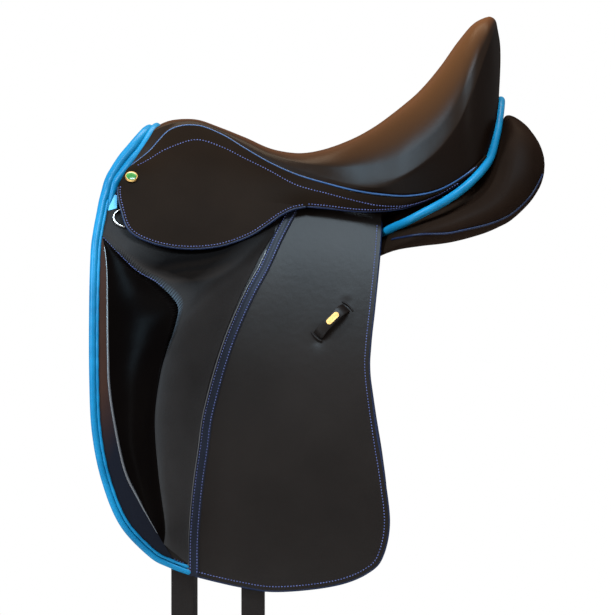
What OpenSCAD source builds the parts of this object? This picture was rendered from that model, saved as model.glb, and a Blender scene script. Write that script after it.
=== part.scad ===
// Dressage saddle, real size in millimetres.
// +X runs to the cantle, the left (near) side is -Y, +Z is up.
// The origin lies on the centre line below the middle of the seat, on the bearing plane of the panels.

/* [Seat] */
// Height of the pommel top
pommel_h = 152; // [146:1:158]
// Height of the lowest point of the seat
seat_h = 113; // [109:1:117]
// Height of the cantle top
cantle_h = 267; // [250:1:285]
// Pommel top, distance in front of the middle of the seat
pommel_reach = 153; // [148:1:158]
// Cantle top, distance behind the middle of the seat
cantle_reach = 186; // [180:1:192]
// Half width of the seat at its widest
seat_half_w = 134; // [126:1:140]
// Half width of the seat on the pommel
pommel_half_w = 32; // [28:1:36]
// Seat leather
cover_t = 3; // [2:0.5:4]
// Foam under the seat leather
foam_t = 11; // [8:1:12]
// Radius of the seat welt
welt_r = 1.5; // [1:0.1:1.8]
// Gap between soft layers
soft_gap = 0.3; // [0.2:0.1:0.5]

/* [Tree] */
// Width of the rails
rail_w = 26; // [20:1:28]
// Thickness of the rails
rail_t = 11; // [8:1:12]
// Width of the head arch along the saddle
head_w = 40; // [30:1:44]
// Thickness of the head arch
head_t = 10; // [8:1:11]
// Sheet steel of the head, gullet and spring plates
plate_t = 2.5; // [1.5:0.5:3]
// Width of the spring steels
spring_w = 14; // [10:1:18]
// Radius of the tree rivets
rivet_r = 2.5; // [2:0.25:3]
// Woven webs
web_t = 2; // [1.5:0.5:2.5]
// Width of the seat web
seat_web_w = 36; // [30:1:40]
// Width of the girth web
girth_web_w = 30; // [24:1:36]

/* [Flaps] */
// Half width at the flex line of the skirts
flex_half_w = 97; // [95:1:99]
// Height of the flex line above the origin
flex_h = 57; // [55:1:59]
// Fall of the flex line towards the rear, degrees
flex_fall = 6; // [5:0.5:7]
// Lean of the leathers at the flex line, degrees from upright
flex_lean = 34; // [33:0.5:35]
// Radius of the skirt face around the barrel
skirt_r = 730; // [710:5:750]
// Skirt leather
skirt_t = 4; // [3:0.5:5]
// Flap leather
flap_t = 4.5; // [3.5:0.5:5]
// Sweat flap leather
sweat_t = 3.5; // [2.5:0.5:4]
// Space between skirt and flap
skirt_gap = 7; // [6:0.5:8]
// Space between flap and girth straps
strap_gap = 1.4; // [1:0.1:1.6]
// Space between girth straps and sweat flap
sweat_gap = 3.5; // [3.2:0.1:4]
// Cut along the flex line
flex_gap = 0.6; // [0.4:0.1:1]
// Front edge of the flap in front of the lowest seat point
flap_front = 253; // [248:1:258]
// Rear edge of the flap behind the lowest seat point
flap_rear = 66; // [62:1:68]
// Lowest edge of the flap below the origin
flap_low = 359; // [350:1:370]
// Front edge of the skirt in front of the lowest seat point
skirt_front = 226; // [223:1:228]
// Lowest edge of the skirt above the origin
skirt_low = 16; // [12:1:18]
// Radius of the blue edge roll of the flap
binding_r = 4.5; // [3.5:0.5:4.5]
// Width of the seam strip
strip_w = 12; // [9:1:14]
// Seam strip leather
strip_t = 1.8; // [1.2:0.2:2.2]

/* [Thigh block] */
// Rise of the ridge over the flap
block_h = 38; // [28:1:42]
// Leather over the block
block_t = 2; // [1.5:0.25:2.5]

/* [Girth straps] */
// Width of a girth strap
billet_w = 24; // [20:1:26]
// Thickness of a girth strap
billet_t = 4; // [3:0.5:4]
// Front strap in front of the lowest seat point
front_billet_x = 154; // [150:1:158]
// Rear strap in front of the lowest seat point
rear_billet_x = 77; // [74:1:84]
// Strap end below the origin
billet_low = 596; // [570:1:620]
// Radius of a buckle hole
hole_r = 2.75; // [2.2:0.05:3]
// Pitch of the buckle holes
hole_pitch = 25; // [22:0.5:27]
// Buckle holes in a strap
hole_count = 7; // [5:1:8]
// Radius of the strap studs
stud_r = 3; // [2.5:0.25:3.5]
// Play between a pin and its bore
pin_play = 0.05; // [0.05:0.01:0.1]

/* [Panels] */
// Half width of the spine channel
channel_half_w = 36; // [33:1:39]
// Half width of the panels at the rear
panel_half_w = 152; // [146:1:156]
// Radius of the blue roll behind the seat
cantle_roll_r = 4.7; // [4:0.1:5]
// Radius of the two blue pommel rolls
pommel_roll_r = 4.5; // [4:0.1:4.8]
// Lining leather of the channel
lining_t = 2; // [1.5:0.25:2.5]

/* [Hardware] */
// Length of the stirrup bar
bar_l = 74; // [68:1:76]
// Height of the stirrup bar section
bar_h = 11; // [9:1:12]
// Thickness of the stirrup bar section
bar_t = 6; // [5:0.5:6.5]
// Throat behind the stirrup bar for the stirrup leather
bar_throat = 7; // [6:0.5:7.5]
// Length of the bar catch
catch_l = 18; // [16:1:19]
// Inner radius of the D-ring
ring_r = 8; // [7:0.25:9]
// Radius of the D-ring wire
wire_r = 1.5; // [1.2:0.1:1.7]
// Length of the stirrup leather keeper
keeper_l = 49; // [44:1:54]
// Width of the keeper
keeper_w = 12.3; // [10:0.1:14]
// Thickness of the keeper
keeper_t = 3; // [2:0.25:3.5]
// Clear height under the keeper
keeper_h = 7; // [6:0.5:8]

/* [Hidden] */
$fn = 48;
axis_y = flex_half_w - skirt_r * cos(flex_lean);
axis_z = -skirt_r * sin(flex_lean);
skirt_ri = skirt_r - skirt_t;
flap_ro = skirt_ri - skirt_gap;
flap_ri = flap_ro - flap_t;
billet_ro = flap_ri - strap_gap;
billet_ri = billet_ro - billet_t;
sweat_ro = billet_ri - sweat_gap;
sweat_ri = sweat_ro - sweat_t;
foam_top = cover_t + 6 * soft_gap;
foam_low = foam_top + foam_t;

function mix(a, b, f) = a + (b - a) * f;
function unit(v) = v / max(norm(v), 0.000001);

// Smooth curve through the points of a list, t from 0 to 1
function through(p, t) =
  let (n = len(p) - 1, u = min(max(t, 0), 1) * n, i = min(floor(u), n - 1), f = u - i)
  let (a = p[max(i - 1, 0)], b = p[i], c = p[i + 1], d = p[min(i + 2, n)])
  0.5 * (2 * b + (c - a) * f + (2 * a - 5 * b + 4 * c - d) * f * f
  + (3 * b - a - 3 * c + d) * f * f * f);

// Quadratic spline that leaves its first and reaches its last control point
function open_spline(p, t) =
  let (n = len(p) - 2, u = min(max(t, 0), 1) * n, i = min(floor(u), n - 1), f = u - i)
  let (a = i == 0 ? p[0] : (p[i] + p[i + 1]) / 2)
  let (c = i == n - 1 ? p[n + 1] : (p[i + 1] + p[i + 2]) / 2)
  (1 - f) * (1 - f) * a + 2 * f * (1 - f) * p[i + 1] + f * f * c;

// Closed quadratic spline, s points for each control point
function ring_spline(p, s) =
  let (n = len(p))
  [for (i = [0 : n - 1]) let (a = (p[(i + n - 1) % n] + p[i]) / 2, c = (p[i] + p[(i + 1) % n]) / 2)
  for (k = [0 : s - 1]) let (f = k / s)
  (1 - f) * (1 - f) * a + 2 * f * (1 - f) * p[i] + f * f * c];

function sampled(p, n) = [for (i = [0 : n]) through(p, i / n)];
function along(p, i) = unit(p[min(i + 1, len(p) - 1)] - p[max(i - 1, 0)]);
function flip(p) = [p.x, -p.y, p.z];
function reversed(p) = [for (i = [len(p) - 1 : -1 : 0]) p[i]];
function both(p) = concat([for (q = reversed(p)) if (q.y > 0.001) flip(q)], p);

// Flex line of the flaps in side view
function flex_z(x) = flex_h - tan(flex_fall) * x;
// Height over the flex line, square to it
function over_flex(x, z) = x * sin(flex_fall) + (z - flex_h) * cos(flex_fall);
// Half width of the barrel face of radius r at a side-view point
function barrel_y(x, z, r) = axis_y + sqrt(r * r - pow(over_flex(x, z) - axis_z, 2));
// Direction square to the barrel face
function barrel_n(x, z, r) =
  let (s = (over_flex(x, z) - axis_z) / r, c = sqrt(1 - s * s))
  [s * sin(flex_fall), c, s * cos(flex_fall)];
// Point a height h over the barrel face of radius r
function barrel_pt(q, r, h) = [q.x, barrel_y(q.x, q.y, r), q.y] + h * barrel_n(q.x, q.y, r);

// Seat lines from the front to the middle of the cantle
px = -pommel_reach;
cx = cantle_reach;
fall = pommel_h - seat_h;
rise = cantle_h - seat_h;
wide = seat_half_w;
crest = [
  [px - 28, 0, pommel_h - 7], [px - 17, 0, pommel_h - 2], [px, 0, pommel_h],
  [px + 17, 0, pommel_h - 1.5], [0.73 * px, 0, seat_h + 0.73 * fall], [0.56 * px, 0, seat_h + 0.46 * fall],
  [0.38 * px, 0, seat_h + 0.145 * fall], [0.18 * px, 0, seat_h + 0.01 * fall], [0, 0, seat_h + 0.026 * rise],
  [0.15 * cx, 0, seat_h + 0.091 * rise], [0.3 * cx, 0, seat_h + 0.185 * rise],
  [0.45 * cx, 0, seat_h + 0.315 * rise], [0.57 * cx, 0, seat_h + 0.448 * rise],
  [0.69 * cx, 0, seat_h + 0.623 * rise], [0.8 * cx, 0, seat_h + 0.805 * rise],
  [0.89 * cx, 0, seat_h + 0.932 * rise], [cx - 8, 0, cantle_h - 2.5], [cx, 0, cantle_h]
];
rim = [
  [px - 37, pommel_half_w + 8, pommel_h - 16], [px - 23, pommel_half_w + 2, pommel_h - 10],
  [px - 5, pommel_half_w - 3, pommel_h - 3.5], [px + 17, pommel_half_w - 3, pommel_h - 4],
  [0.73 * px, pommel_half_w + 2, seat_h + 0.687 * fall], [0.56 * px, 44, seat_h + 0.344 * fall],
  [0.38 * px, 57, seat_h - 1], [0.18 * px, 71, seat_h - 12], [2, 0.62 * wide, seat_h - 21],
  [34, 0.73 * wide, seat_h - 29], [64, 0.85 * wide, seat_h - 30], [94, 0.95 * wide, seat_h - 18],
  [122, wide, seat_h + 5], [cx - 38, 0.98 * wide, seat_h + 0.245 * rise],
  [cx - 20, 0.88 * wide, seat_h + 0.47 * rise], [cx - 7, 0.7 * wide, cantle_h - 46],
  [cx + 4, 0.46 * wide, cantle_h - 17], [cx + 9, 0, cantle_h - 6]
];
base = [
  [px - 61, pommel_half_w + 43, 101], [px - 39, pommel_half_w + 24, 118],
  [px - 15, pommel_half_w + 6, pommel_h - 10], [px + 13, pommel_half_w, pommel_h - 5.5],
  [0.73 * px, pommel_half_w + 6, seat_h + 0.6 * fall], [0.56 * px, 49, seat_h + 0.213 * fall],
  [0.38 * px, 62, seat_h - 7], [0.18 * px, 75, seat_h - 20], [4, 85, 84], [36, 97, 76.5],
  [66, 108, 72.5], [96, 119, 71.5], [128, 126, 78], [cx - 28, 126, 95], [cx - 5, 108, 116],
  [cx + 5, 81, 142], [cx + 10, 45, 166], [cx + 12, 0, 180]
];
stations = len(base) - 1;
// Depth of the dish in the middle of the seat
dish = [[0], [0], [0], [0], [0], [0], [0], [0], [1], [3], [5], [7], [8], [8], [6], [4], [1.5], [0]];
// The lines run on past the middle of the cantle so that both halves join smoothly
function closing(p) = concat(p, [flip(p[len(p) - 2])]);
function seat_line(p, t) = through(p, t * stations / (stations + 1));
crest_line = closing(crest);
rim_line = closing(rim);
base_line = closing(base);

// Outward direction of the seat in plan
function seat_out(c, b) = unit([b.x - c.x, b.y, 0]);
rim_round = 0.42;
back_bulge = 5;
// Point of the seat: t from front to cantle, q from the crest to the lower edge, d below the leather face
function seat_pt(t, q, d) =
  let (c = seat_line(crest_line, t), r = seat_line(rim_line, t), b = seat_line(base_line, t))
  let (o = seat_out(c, b))
  let (h = through(dish, t)[0], f = c - [0, 0, h + d], k = [c.x, 0.3 * r.y, f.z])
  let (m = [mix(c.x, r.x, 0.35), 0.62 * r.y, mix(c.z, r.z, 0.05) + 1.1 * h - d])
  let (rd = r - d * (0.7 * o + [0, 0, 0.7]), bd = b - d * (0.9 * o + [0, 0, 0.3]))
  let (back = mix(rd, bd, rim_round) + max(0, t - 0.7) / 0.3 * back_bulge * o)
  open_spline([f, k, m, mix(rd, m, rim_round), rd, back, bd], q);
function seat_row(t, d, m) =
  [for (j = [-m : m]) let (p = seat_pt(t, abs(j) / m, d)) j < 0 ? flip(p) : p];
function seat_grid(d, n, m) = [for (i = [0 : n]) seat_row(i / n, d, m)];
// The foam thins out towards the cantle
function foam_grid(n, m) = [for (i = [0 : n]) let (f = min(1, max(0, (i / n - 0.68) / 0.3)))
  seat_row(i / n, foam_top + foam_t * mix(1, 0.25, f), m)];
// Lower edge of the seat, moved outwards by d
function edge_pt(t, d) =
  let (c = seat_line(crest_line, t), b = seat_line(base_line, t)) b + d * seat_out(c, b);

// Sheet between an upper and a lower grid; a closed sheet folds shut along its last row
module sheet(top, low, closed = false) {
  n = len(top);
  m = len(top[0]);
  points = [for (g = [top, low]) for (row = g) for (p = row) p];
  function id(k, i, j) = (k * n + i) * m + j;
  faces = concat(
    [for (i = [0 : n - 2]) for (j = [0 : m - 2])
      each [[id(0, i, j), id(0, i, j + 1), id(0, i + 1, j + 1)],
        [id(0, i, j), id(0, i + 1, j + 1), id(0, i + 1, j)]]],
    [for (i = [0 : n - 2]) for (j = [0 : m - 2])
      each [[id(1, i, j), id(1, i + 1, j + 1), id(1, i, j + 1)],
        [id(1, i, j), id(1, i + 1, j), id(1, i + 1, j + 1)]]],
    [for (i = [0 : n - 2])
      each [[id(0, i, 0), id(0, i + 1, 0), id(1, i + 1, 0)], [id(0, i, 0), id(1, i + 1, 0), id(1, i, 0)]]],
    [for (i = [0 : n - 2]) let (j = m - 1)
      each [[id(0, i + 1, j), id(0, i, j), id(1, i, j)], [id(0, i + 1, j), id(1, i, j), id(1, i + 1, j)]]],
    [for (j = [0 : m - 2])
      each [[id(0, 0, j + 1), id(0, 0, j), id(1, 0, j)], [id(0, 0, j + 1), id(1, 0, j), id(1, 0, j + 1)]]],
    closed ? [] : [for (j = [0 : m - 2]) let (i = n - 1)
      each [[id(0, i, j), id(0, i, j + 1), id(1, i, j + 1)], [id(0, i, j), id(1, i, j + 1), id(1, i, j)]]]
  );
  polyhedron(points, faces, convexity = 10);
}

// Solid through a row of closed rings that turn right-handed about the way they run
module skin(rings) {
  n = len(rings);
  m = len(rings[0]);
  points = [for (r = rings) for (p = r) p];
  e = (n - 1) * m;
  faces = concat(
    [for (i = [0 : n - 2]) for (j = [0 : m - 1]) let (a = i * m + j, b = i * m + (j + 1) % m)
      each [[a, b + m, b], [a, a + m, b + m]]],
    [for (j = [1 : m - 2]) [0, j, j + 1]],
    [for (j = [1 : m - 2]) [e, e + j + 1, e + j]]
  );
  polyhedron(points, faces, convexity = 10);
}

// Round cord along a path; up must never lie along the path
module tube(path, r, up, sides = 8, tail = 1) {
  last = len(path) - 1;
  skin([for (i = [0 : last]) let (t = along(path, i), n = unit(up - (up * t) * t), b = cross(t, n))
    let (q = r * mix(1, tail, i / last))
    [for (k = [0 : sides - 1]) path[i] + q * (cos(360 * k / sides) * n + sin(360 * k / sides) * b)]]);
}

// Flat bar along a path with its width along the given directions, edges broken by a quarter of t
module band(path, side, w, t) {
  e = t / 4;
  shape = [[w / 2 - e, -t / 2], [w / 2, -t / 2 + e], [w / 2, t / 2 - e], [w / 2 - e, t / 2],
    [e - w / 2, t / 2], [-w / 2, t / 2 - e], [-w / 2, e - t / 2], [e - w / 2, -t / 2]];
  skin([for (i = [0 : len(path) - 1])
    let (v = along(path, i), s = unit(side[i] - (side[i] * v) * v), n = cross(v, s))
    [for (q = shape) path[i] + q.x * s + q.y * n]]);
}

// Right side is drawn; the left side is its mirror image
module pair_side(s) {
  if (s < 0) mirror([0, 1, 0]) children();
  else children();
}

// Layer between two radii of the barrel
module barrel(ro, ri) {
  translate([0, axis_y, flex_h]) rotate([0, flex_fall, 0]) translate([0, 0, axis_z]) rotate([0, 90, 0])
    difference() {
      cylinder(r = ro, h = 1100, center = true, $fn = 180);
      cylinder(r = ri, h = 1110, center = true, $fn = 180);
    }
}

// Side-view outline drawn through the right half of the saddle
module through_side(outline) {
  translate([0, 330, 0]) rotate([90, 0, 0]) linear_extrude(height = 330) polygon(outline);
}

// Leather layer cut to a side-view outline
module leather(outline, ro, ri) {
  intersection() {
    barrel(ro, ri);
    through_side(outline);
  }
}

// Local place on the barrel: X along the flex line, Y outwards, Z up along the leather
module on_barrel(x, z, r) {
  s = (over_flex(x, z) - axis_z) / r;
  translate(barrel_pt([x, z], r, 0)) rotate([0, flex_fall, 0]) rotate([asin(s), 0, 0]) children();
}

// Pin along local Y from y0 to y1
module cross_pin(r, y0, y1) {
  translate([0, y1, 0]) rotate([90, 0, 0]) cylinder(r = r, h = y1 - y0);
}

// Side-view path moved to its left by d
function moved(p, d) =
  [for (i = [0 : len(p) - 1])
    let (t = unit(p[min(i + 1, len(p) - 1)] - p[max(i - 1, 0)])) p[i] + d * [-t.y, t.x]];

// Tree
head_top = pommel_h - 31;
cantle_rail = [172, 0, 174];
rail_line = [
  [-141, 36, head_top - 15], [-112, 38, head_top - 20], [-86, 42, seat_h + 0.46 * fall - 39],
  [-58, 47, seat_h + 0.145 * fall - 39.7], [-28, 51, 69],
  [4, 53, 63], [36, 54, 61], [64, 57, 62], [94, 73, 69], [122, 92, 83], [146, 97, 106], [162, 84, 132],
  [170, 60, 156], [172, 30, 170], cantle_rail
];
rail_side = [
  [0, 1, -0.3], [0, 1, -0.3], [0, 1, -0.2], [0, 1, 0], [0, 1, 0], [0, 1, 0], [0, 1, 0], [0, 1, 0.1],
  [0, 1, 0.3], [0.2, 1, 0.6], [0.3, 0.7, 0.9], [0.3, 0.4, 1], [0.2, 0.2, 1], [0.2, 0, 1], [0.2, 0, 1]
];
spring_lift = 2.2;
head_x = -158;
head_line = [[97.5, -6], [90, 14], [72.5, 50], [54, 86], [31, head_top - 10], [0, head_top]];
function head_at(f, lift) =
  let (p = through(head_line, f))
  let (v = unit(through(head_line, min(f + 0.01, 1)) - through(head_line, f - 0.01)))
  f == 1 ? [head_x, 0, p.y + lift] : [head_x, p.x + lift * v.y, p.y - lift * v.x];
function head_path(from, lift, n) =
  [for (i = [-n : n]) let (p = head_at(mix(1, from, abs(i) / n), lift)) i < 0 ? flip(p) : p];
head_side = [for (i = [0 : 40]) [1, 0, 0]];

module tree() {
  color("burlywood") {
    n = 24;
    line = sampled(rail_line, n);
    side = sampled(rail_side, n);
    whole = concat([for (p = line) flip(p)], [for (i = [n - 1 : -1 : 0]) line[i]]);
    turn = concat([for (p = side) flip(p)], [for (i = [n - 1 : -1 : 0]) side[i]]);
    union() {
      band(whole, turn, rail_w, rail_t);
      band(head_path(0, 0, 12), head_side, head_w, head_t);
    }
  }
}

module head_plate() {
  over = (head_t + plate_t) / 2 + 2 * soft_gap;
  color("silver") band(head_path(0.64, over, 6), head_side, head_w - 8, plate_t);
}

module gullet_plate() {
  under = (head_t + plate_t) / 2 + 2 * soft_gap;
  color("silver") band(head_path(0.3, -under, 9), head_side, head_w - 8, plate_t);
}

module spring_steels() {
  color("steelblue") for (s = [-1, 1]) pair_side(s) {
    part = [for (i = [2 : 8]) rail_line[i] + [0, 0, (rail_t + plate_t) / 2 + spring_lift]];
    band(sampled(part, 14), [for (i = [0 : 14]) [0, 1, 0]], spring_w, plate_t);
  }
}

module tree_rivets() {
  top = head_t / 2 + plate_t + 1.2;
  color("gray") {
    for (x = [-11, 11], y = [-14, 14]) translate([head_x + x, y, head_top - 2 - top])
      cylinder(r = rivet_r, h = 2 * top);
    for (s = [-1, 1], i = [3, 6]) translate([rail_line[i].x, s * rail_line[i].y, rail_line[i].z - rail_t / 2])
      cylinder(r = rivet_r, h = rail_t + plate_t + 2.6);
  }
}

// Webs
module seat_web() {
  below = [for (i = [0 : 16]) let (t = mix(0.1, 0.7, i / 16)) seat_line(crest_line, t)
    - [0, 0, through(dish, t)[0] + foam_low + 1.5 + web_t / 2 + 3.2 * pow(1 - i / 16, 6)]];
  rest = cantle_rail + [0, 0, rail_w / 2 + 1.6];
  line = concat(below, [rest - [26, 0, 14.6], rest - [12, 0, 4.1], rest]);
  color("tan") band(line, [for (p = line) [0, 1, 0]], seat_web_w, web_t);
}

girth_r = billet_ri - soft_gap - web_t / 2;
module girth_web() {
  x = -rear_billet_x;
  z = flex_z(x);
  low = [for (d = [-66, -42, -18]) [x, barrel_y(x, z + d, girth_r), z + d]];
  rail = mix(rail_line[2].z, rail_line[3].z, (x - rail_line[2].x) / (rail_line[3].x - rail_line[2].x));
  top = rail + rail_t / 2 + spring_lift + plate_t + 3.5;
  over = [[x, 68, top - 31.5], [x, 61, top - 13.5], [x, 51, top - 2], [x, 24, top - 0.5], [x, 0, top]];
  line = reversed(concat(low, over));
  path = both(sampled(line, 14));
  lie = tan(flex_fall);
  side = [for (p = path) [1, 0, -mix(lie, 0.42, min(1, max(0, (p.z - z) / 25)))]];
  color("tan") band(path, side, girth_web_w, web_t);
}

// Seat
module seat_foam() {
  color("khaki") sheet(seat_grid(foam_top, 28, 5), foam_grid(28, 5), true);
}

module seat_cover() {
  color("#2a201c") sheet(seat_grid(0, 28, 10), seat_grid(cover_t, 28, 10), true);
}

tail = 13 / stations;
// Line of the seat welt, just outside and below the lower edge of the seat
function welt_pt(t) = edge_pt(t * tail, welt_r + 3 * soft_gap) - [0, 0, 0.4];
module seat_welt(s) {
  path = [for (i = [0 : 34]) welt_pt(mix(0.02, 1, i / 34))];
  color("royalblue") pair_side(s) tube(path, welt_r, [0, 0, 1], 6);
}

// Skirts: the sewn top band reaches down to the flex line, the skirt hangs below it
band_low = concat(
  [for (x = [-skirt_front, -200, -172, -142, -113, -86, -58, -28])
    [x, flex_half_w, flex_z(x) + flex_gap / 2]],
  [[4, flex_half_w + 0.3, 57.2], [36, flex_half_w + 2, 53.6], [66, 104, 53.6], [96, 115.5, 58.5]],
  [[128, 125.5, 71.5], [158, 128.5, 90]]
);
function band_n(t) =
  let (w = through(band_low, min(t + 0.01, 1)) - through(band_low, max(t - 0.01, 0)))
  unit(cross(w, through(band_low, t) - welt_pt(t)));
function band_top(t) =
  let (w = welt_pt(t)) w + (welt_r + 1.5) * unit(through(band_low, t) - w) + skirt_t / 2 * band_n(t);
function bulge(t, v) = 2.5 * sin(180 * v) * (1 - t * t);
function band_pt(t, v) = mix(band_top(t), through(band_low, t), v) + bulge(t, v) * band_n(t);
// The leather is cut level along the flex line
function band_grid(d, n, m) = [for (i = [0 : n]) let (k = band_n(i / n)) [for (j = [0 : m])
  band_pt(i / n, j / m) - d * mix(k, [0, 1 / max(k.y, 0.5), 0], pow(j / m, 2))]];
module skirt_top(s) {
  color("#30241e") pair_side(s) sheet(band_grid(0, 28, 4), band_grid(skirt_t, 28, 4));
}

skirt_edge = [
  [-skirt_front, flex_z(-skirt_front) - flex_gap / 2], [-skirt_front, 71], [4 - skirt_front, 55],
  [10 - skirt_front, 38], [20 - skirt_front, skirt_low + 14], [37 - skirt_front, skirt_low + 7],
  [57 - skirt_front, skirt_low + 2], [78 - skirt_front, skirt_low], [-125, skirt_low + 1],
  [-104, skirt_low + 5],
  [-79, skirt_low + 14], [-62, skirt_low + 24], [-46, 49.5], [-32, 56], [-17, flex_z(-17) - flex_gap / 2]
];
module skirt(s) {
  color("#30241e") pair_side(s) leather(sampled(skirt_edge, 42), skirt_r, skirt_ri);
}

badge_r = 5.6;
module skirt_studs() {
  p = band_pt(0.045, 0.6);
  n = band_n(0.045);
  color("seagreen") for (s = [-1, 1]) pair_side(s)
    translate(p + 0.4 * n) rotate([0, acos(n.z), atan2(n.y, n.x)]) {
      cylinder(r = badge_r, h = 1.6);
      translate([0, 0, 1.6]) cylinder(r1 = badge_r - 0.8, r2 = badge_r - 2, h = 0.9);
    }
}

// Flaps
front_pts = [
  [10.5 - flap_front, flex_z(10.5 - flap_front) - 6.5], [7.5 - flap_front, 50], [2.5 - flap_front, 10],
  [-flap_front, -49], [0.5 - flap_front, -129], [3.5 - flap_front, -186], [14 - flap_front, -238],
  [33.5 - flap_front, 73.4 - flap_low], [64.6 - flap_front, 39.8 - flap_low],
  [85.5 - flap_front, 28.2 - flap_low],
  [112 - flap_front, 21.5 - flap_low]
];
front_line = sampled(front_pts, 30);
rear_pts = [
  [-132, 16 - flap_low], [-115, 11 - flap_low], [-90, 5 - flap_low], [-57, -flap_low], [-16, 2 - flap_low],
  [25, 10 - flap_low], [58, 25 - flap_low], [flap_rear + 4, 41 - flap_low], [flap_rear + 7.5, 74 - flap_low],
  [flap_rear + 2, -240], [flap_rear - 6.5, -186], [flap_rear - 14.5, -124], [flap_rear - 13.5, -90],
  [flap_rear - 9, -50], [flap_rear - 3, 8], [flap_rear, flex_z(flap_rear) - flex_gap / 2]
];
rear_line = sampled(rear_pts, 36);
function under(x, d) = [x, flex_z(x) - d];
notch_front = -231;
notch_mid = -158;
notch_rear = -72;
flap_outline = concat(
  moved(front_line, binding_r + soft_gap), rear_line,
  [under(notch_rear, flex_gap / 2), under(notch_rear, 36), under(notch_mid, 36), under(notch_mid, 48),
  under(notch_front, 48), under(notch_front, 3)]
);
keeper_at = [11, -66.5];
keeper_turn = -52;
slit_play = 0.6;
module flap(s) {
  color("#2d231d") pair_side(s) difference() {
    leather(flap_outline, flap_ro, flap_ri);
    on_barrel(keeper_at.x, keeper_at.y, flap_ro) rotate([0, keeper_turn, 0])
      for (x = [-1, 1]) translate([x * (keeper_l - keeper_t) / 2, 0, 0])
        cube([keeper_t + slit_play, 4 * flap_t, keeper_w + slit_play], center = true);
  }
}

module flap_top(s) {
  outline = [under(-205, -flex_gap / 2), under(48, -flex_gap / 2), under(48, -16), under(-205, -16)];
  color("#2d231d") pair_side(s) difference() {
    leather(outline, flap_ro, flap_ri);
    for (q = nail_at) on_barrel(q.x, flex_z(q.x) + 10, flap_ro) cross_pin(nail_r + pin_play, -8, 5);
  }
}

nail_r = 1.5;
nail_head_r = 3;
nail_at = [[-166, 15], [-60, 24], [-12, 22], [34, 15]];
module tree_nails() {
  color("gray") for (s = [-1, 1]) pair_side(s) for (q = nail_at)
    on_barrel(q.x, flex_z(q.x) + 10, flap_ro) {
      cross_pin(nail_r, -q.y, 1);
      cross_pin(nail_head_r, 0.3, 1.4);
    }
  color("gray") for (s = [-1, 1]) ring_frame(s) translate([tab_nail, 0, 0]) {
    cross_pin(nail_r, -27, 1.4);
    cross_pin(nail_head_r, 1.3, 2.2);
  }
}

module flap_binding(s) {
  path = [for (p = front_line) barrel_pt(p, flap_ro, 0)];
  color("deepskyblue") pair_side(s) tube(path, binding_r, [0, 1, 0], 8, 0.7);
}

strip_line = [
  [-47, 44], [-58, 24], [-67, 4.5], [-80, -20], [-95, -53], [-112, -86], [-127, -129], [-132, -170],
  [-138, -210], [-143, -259], [-146, 59 - flap_low], [-146, 28 - flap_low]
];
module flap_strip(s) {
  edge = sampled(strip_line, 30);
  color("#1f1815") pair_side(s)
    leather(concat(edge, reversed(moved(edge, strip_w))), flap_ro + soft_gap + strip_t, flap_ro + soft_gap);
}

// Thigh block: front edge, ridge and rear edge in side view, each with twelve matching points
block_front = [
  [11 - flap_front, 31], [9.5 - flap_front, 8], [8 - flap_front, -25], [7.5 - flap_front, -60],
  [7.5 - flap_front, -90],
  [8 - flap_front, -120], [9.5 - flap_front, -150], [12 - flap_front, -190], [19 - flap_front, -225],
  [32 - flap_front, 102 - flap_low], [56 - flap_front, 68 - flap_low], [78 - flap_front, 50 - flap_low]
];
block_ridge = [
  [-241, 27], [-221, 6], [-197, -14], [-173, -30], [-155, -51], [-161, -76], [-171, -104], [-179, -140],
  [-182, -180], [-178, -238], [-172, 71 - flap_low], [-172, 47 - flap_low]
];
block_rear = [
  [-236, 32], [-212, 25], [-168, 12], [-112, 10], [-74, 0], [-90, -36], [-111.5, -80], [-127.5, -124],
  [-134.5, -172], [-143, -236], [-148, 67 - flap_low], [-148.5, 33 - flap_low]
];
block_rise = [[3], [8], [18], [30], [36], [38], [38], [38], [38], [34], [22], [5]] * (block_h / 38);
seat_on_flap = soft_gap;
// Point of the block face: t down the ridge, s from the front edge (-1) over the ridge to the rear edge (1)
function block_xz(t, s) =
  mix(through(block_ridge, t), s < 0 ? through(block_front, t) : through(block_rear, t), abs(s));
function block_up(t, s) =
  let (h = through(block_rise, t)[0])
  h * (s < 0 ? pow(1 + s, 1.8) : pow(cos(90 * s), 1.3)) + block_t + seat_on_flap;
function block_pt(t, s, d) = barrel_pt(block_xz(t, s), flap_ro, max(block_up(t, s) - d, seat_on_flap));
function block_grid(t0, t1, n, s0, s1, m, d) =
  [for (j = [0 : m]) [for (i = [0 : n]) block_pt(mix(t0, t1, i / n), mix(s0, s1, j / m), d)]];

module block_face(s) {
  color("#17120f") pair_side(s)
    sheet(block_grid(0, 1, 22, -1, -0.02, 5, 0), block_grid(0, 1, 22, -1, -0.02, 5, block_t));
}

module thigh_panel(s) {
  color("#3a302a") pair_side(s)
    sheet(block_grid(0, 1, 22, 0.01, 1, 6, 0), block_grid(0, 1, 22, 0.01, 1, 6, block_t));
}

function foam_face(d) = block_grid(0.136, 0.909, 17, -0.588, 0.67, 7, d);
module block_foam(s) {
  color("khaki") pair_side(s) sheet(foam_face(block_t + 2 * soft_gap), foam_face(3 * block_h));
}

// Stirrup leather keeper
module keeper(s) {
  l = keeper_l / 2;
  color("#241c17") pair_side(s) on_barrel(keeper_at.x, keeper_at.y, flap_ro) rotate([0, keeper_turn, 0])
    translate([0, 0, -keeper_w / 2]) linear_extrude(height = keeper_w) {
      translate([keeper_t - l, keeper_h]) square([2 * l - 2 * keeper_t, keeper_t]);
      for (x = [-1, 1]) scale([x, 1]) {
        translate([l - keeper_t, 1 - flap_t]) square([keeper_t, keeper_h + flap_t - 1]);
        intersection() {
          translate([l - keeper_t, keeper_h]) circle(r = keeper_t);
          translate([l - keeper_t, keeper_h]) square(keeper_t);
        }
      }
    }
}

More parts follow.
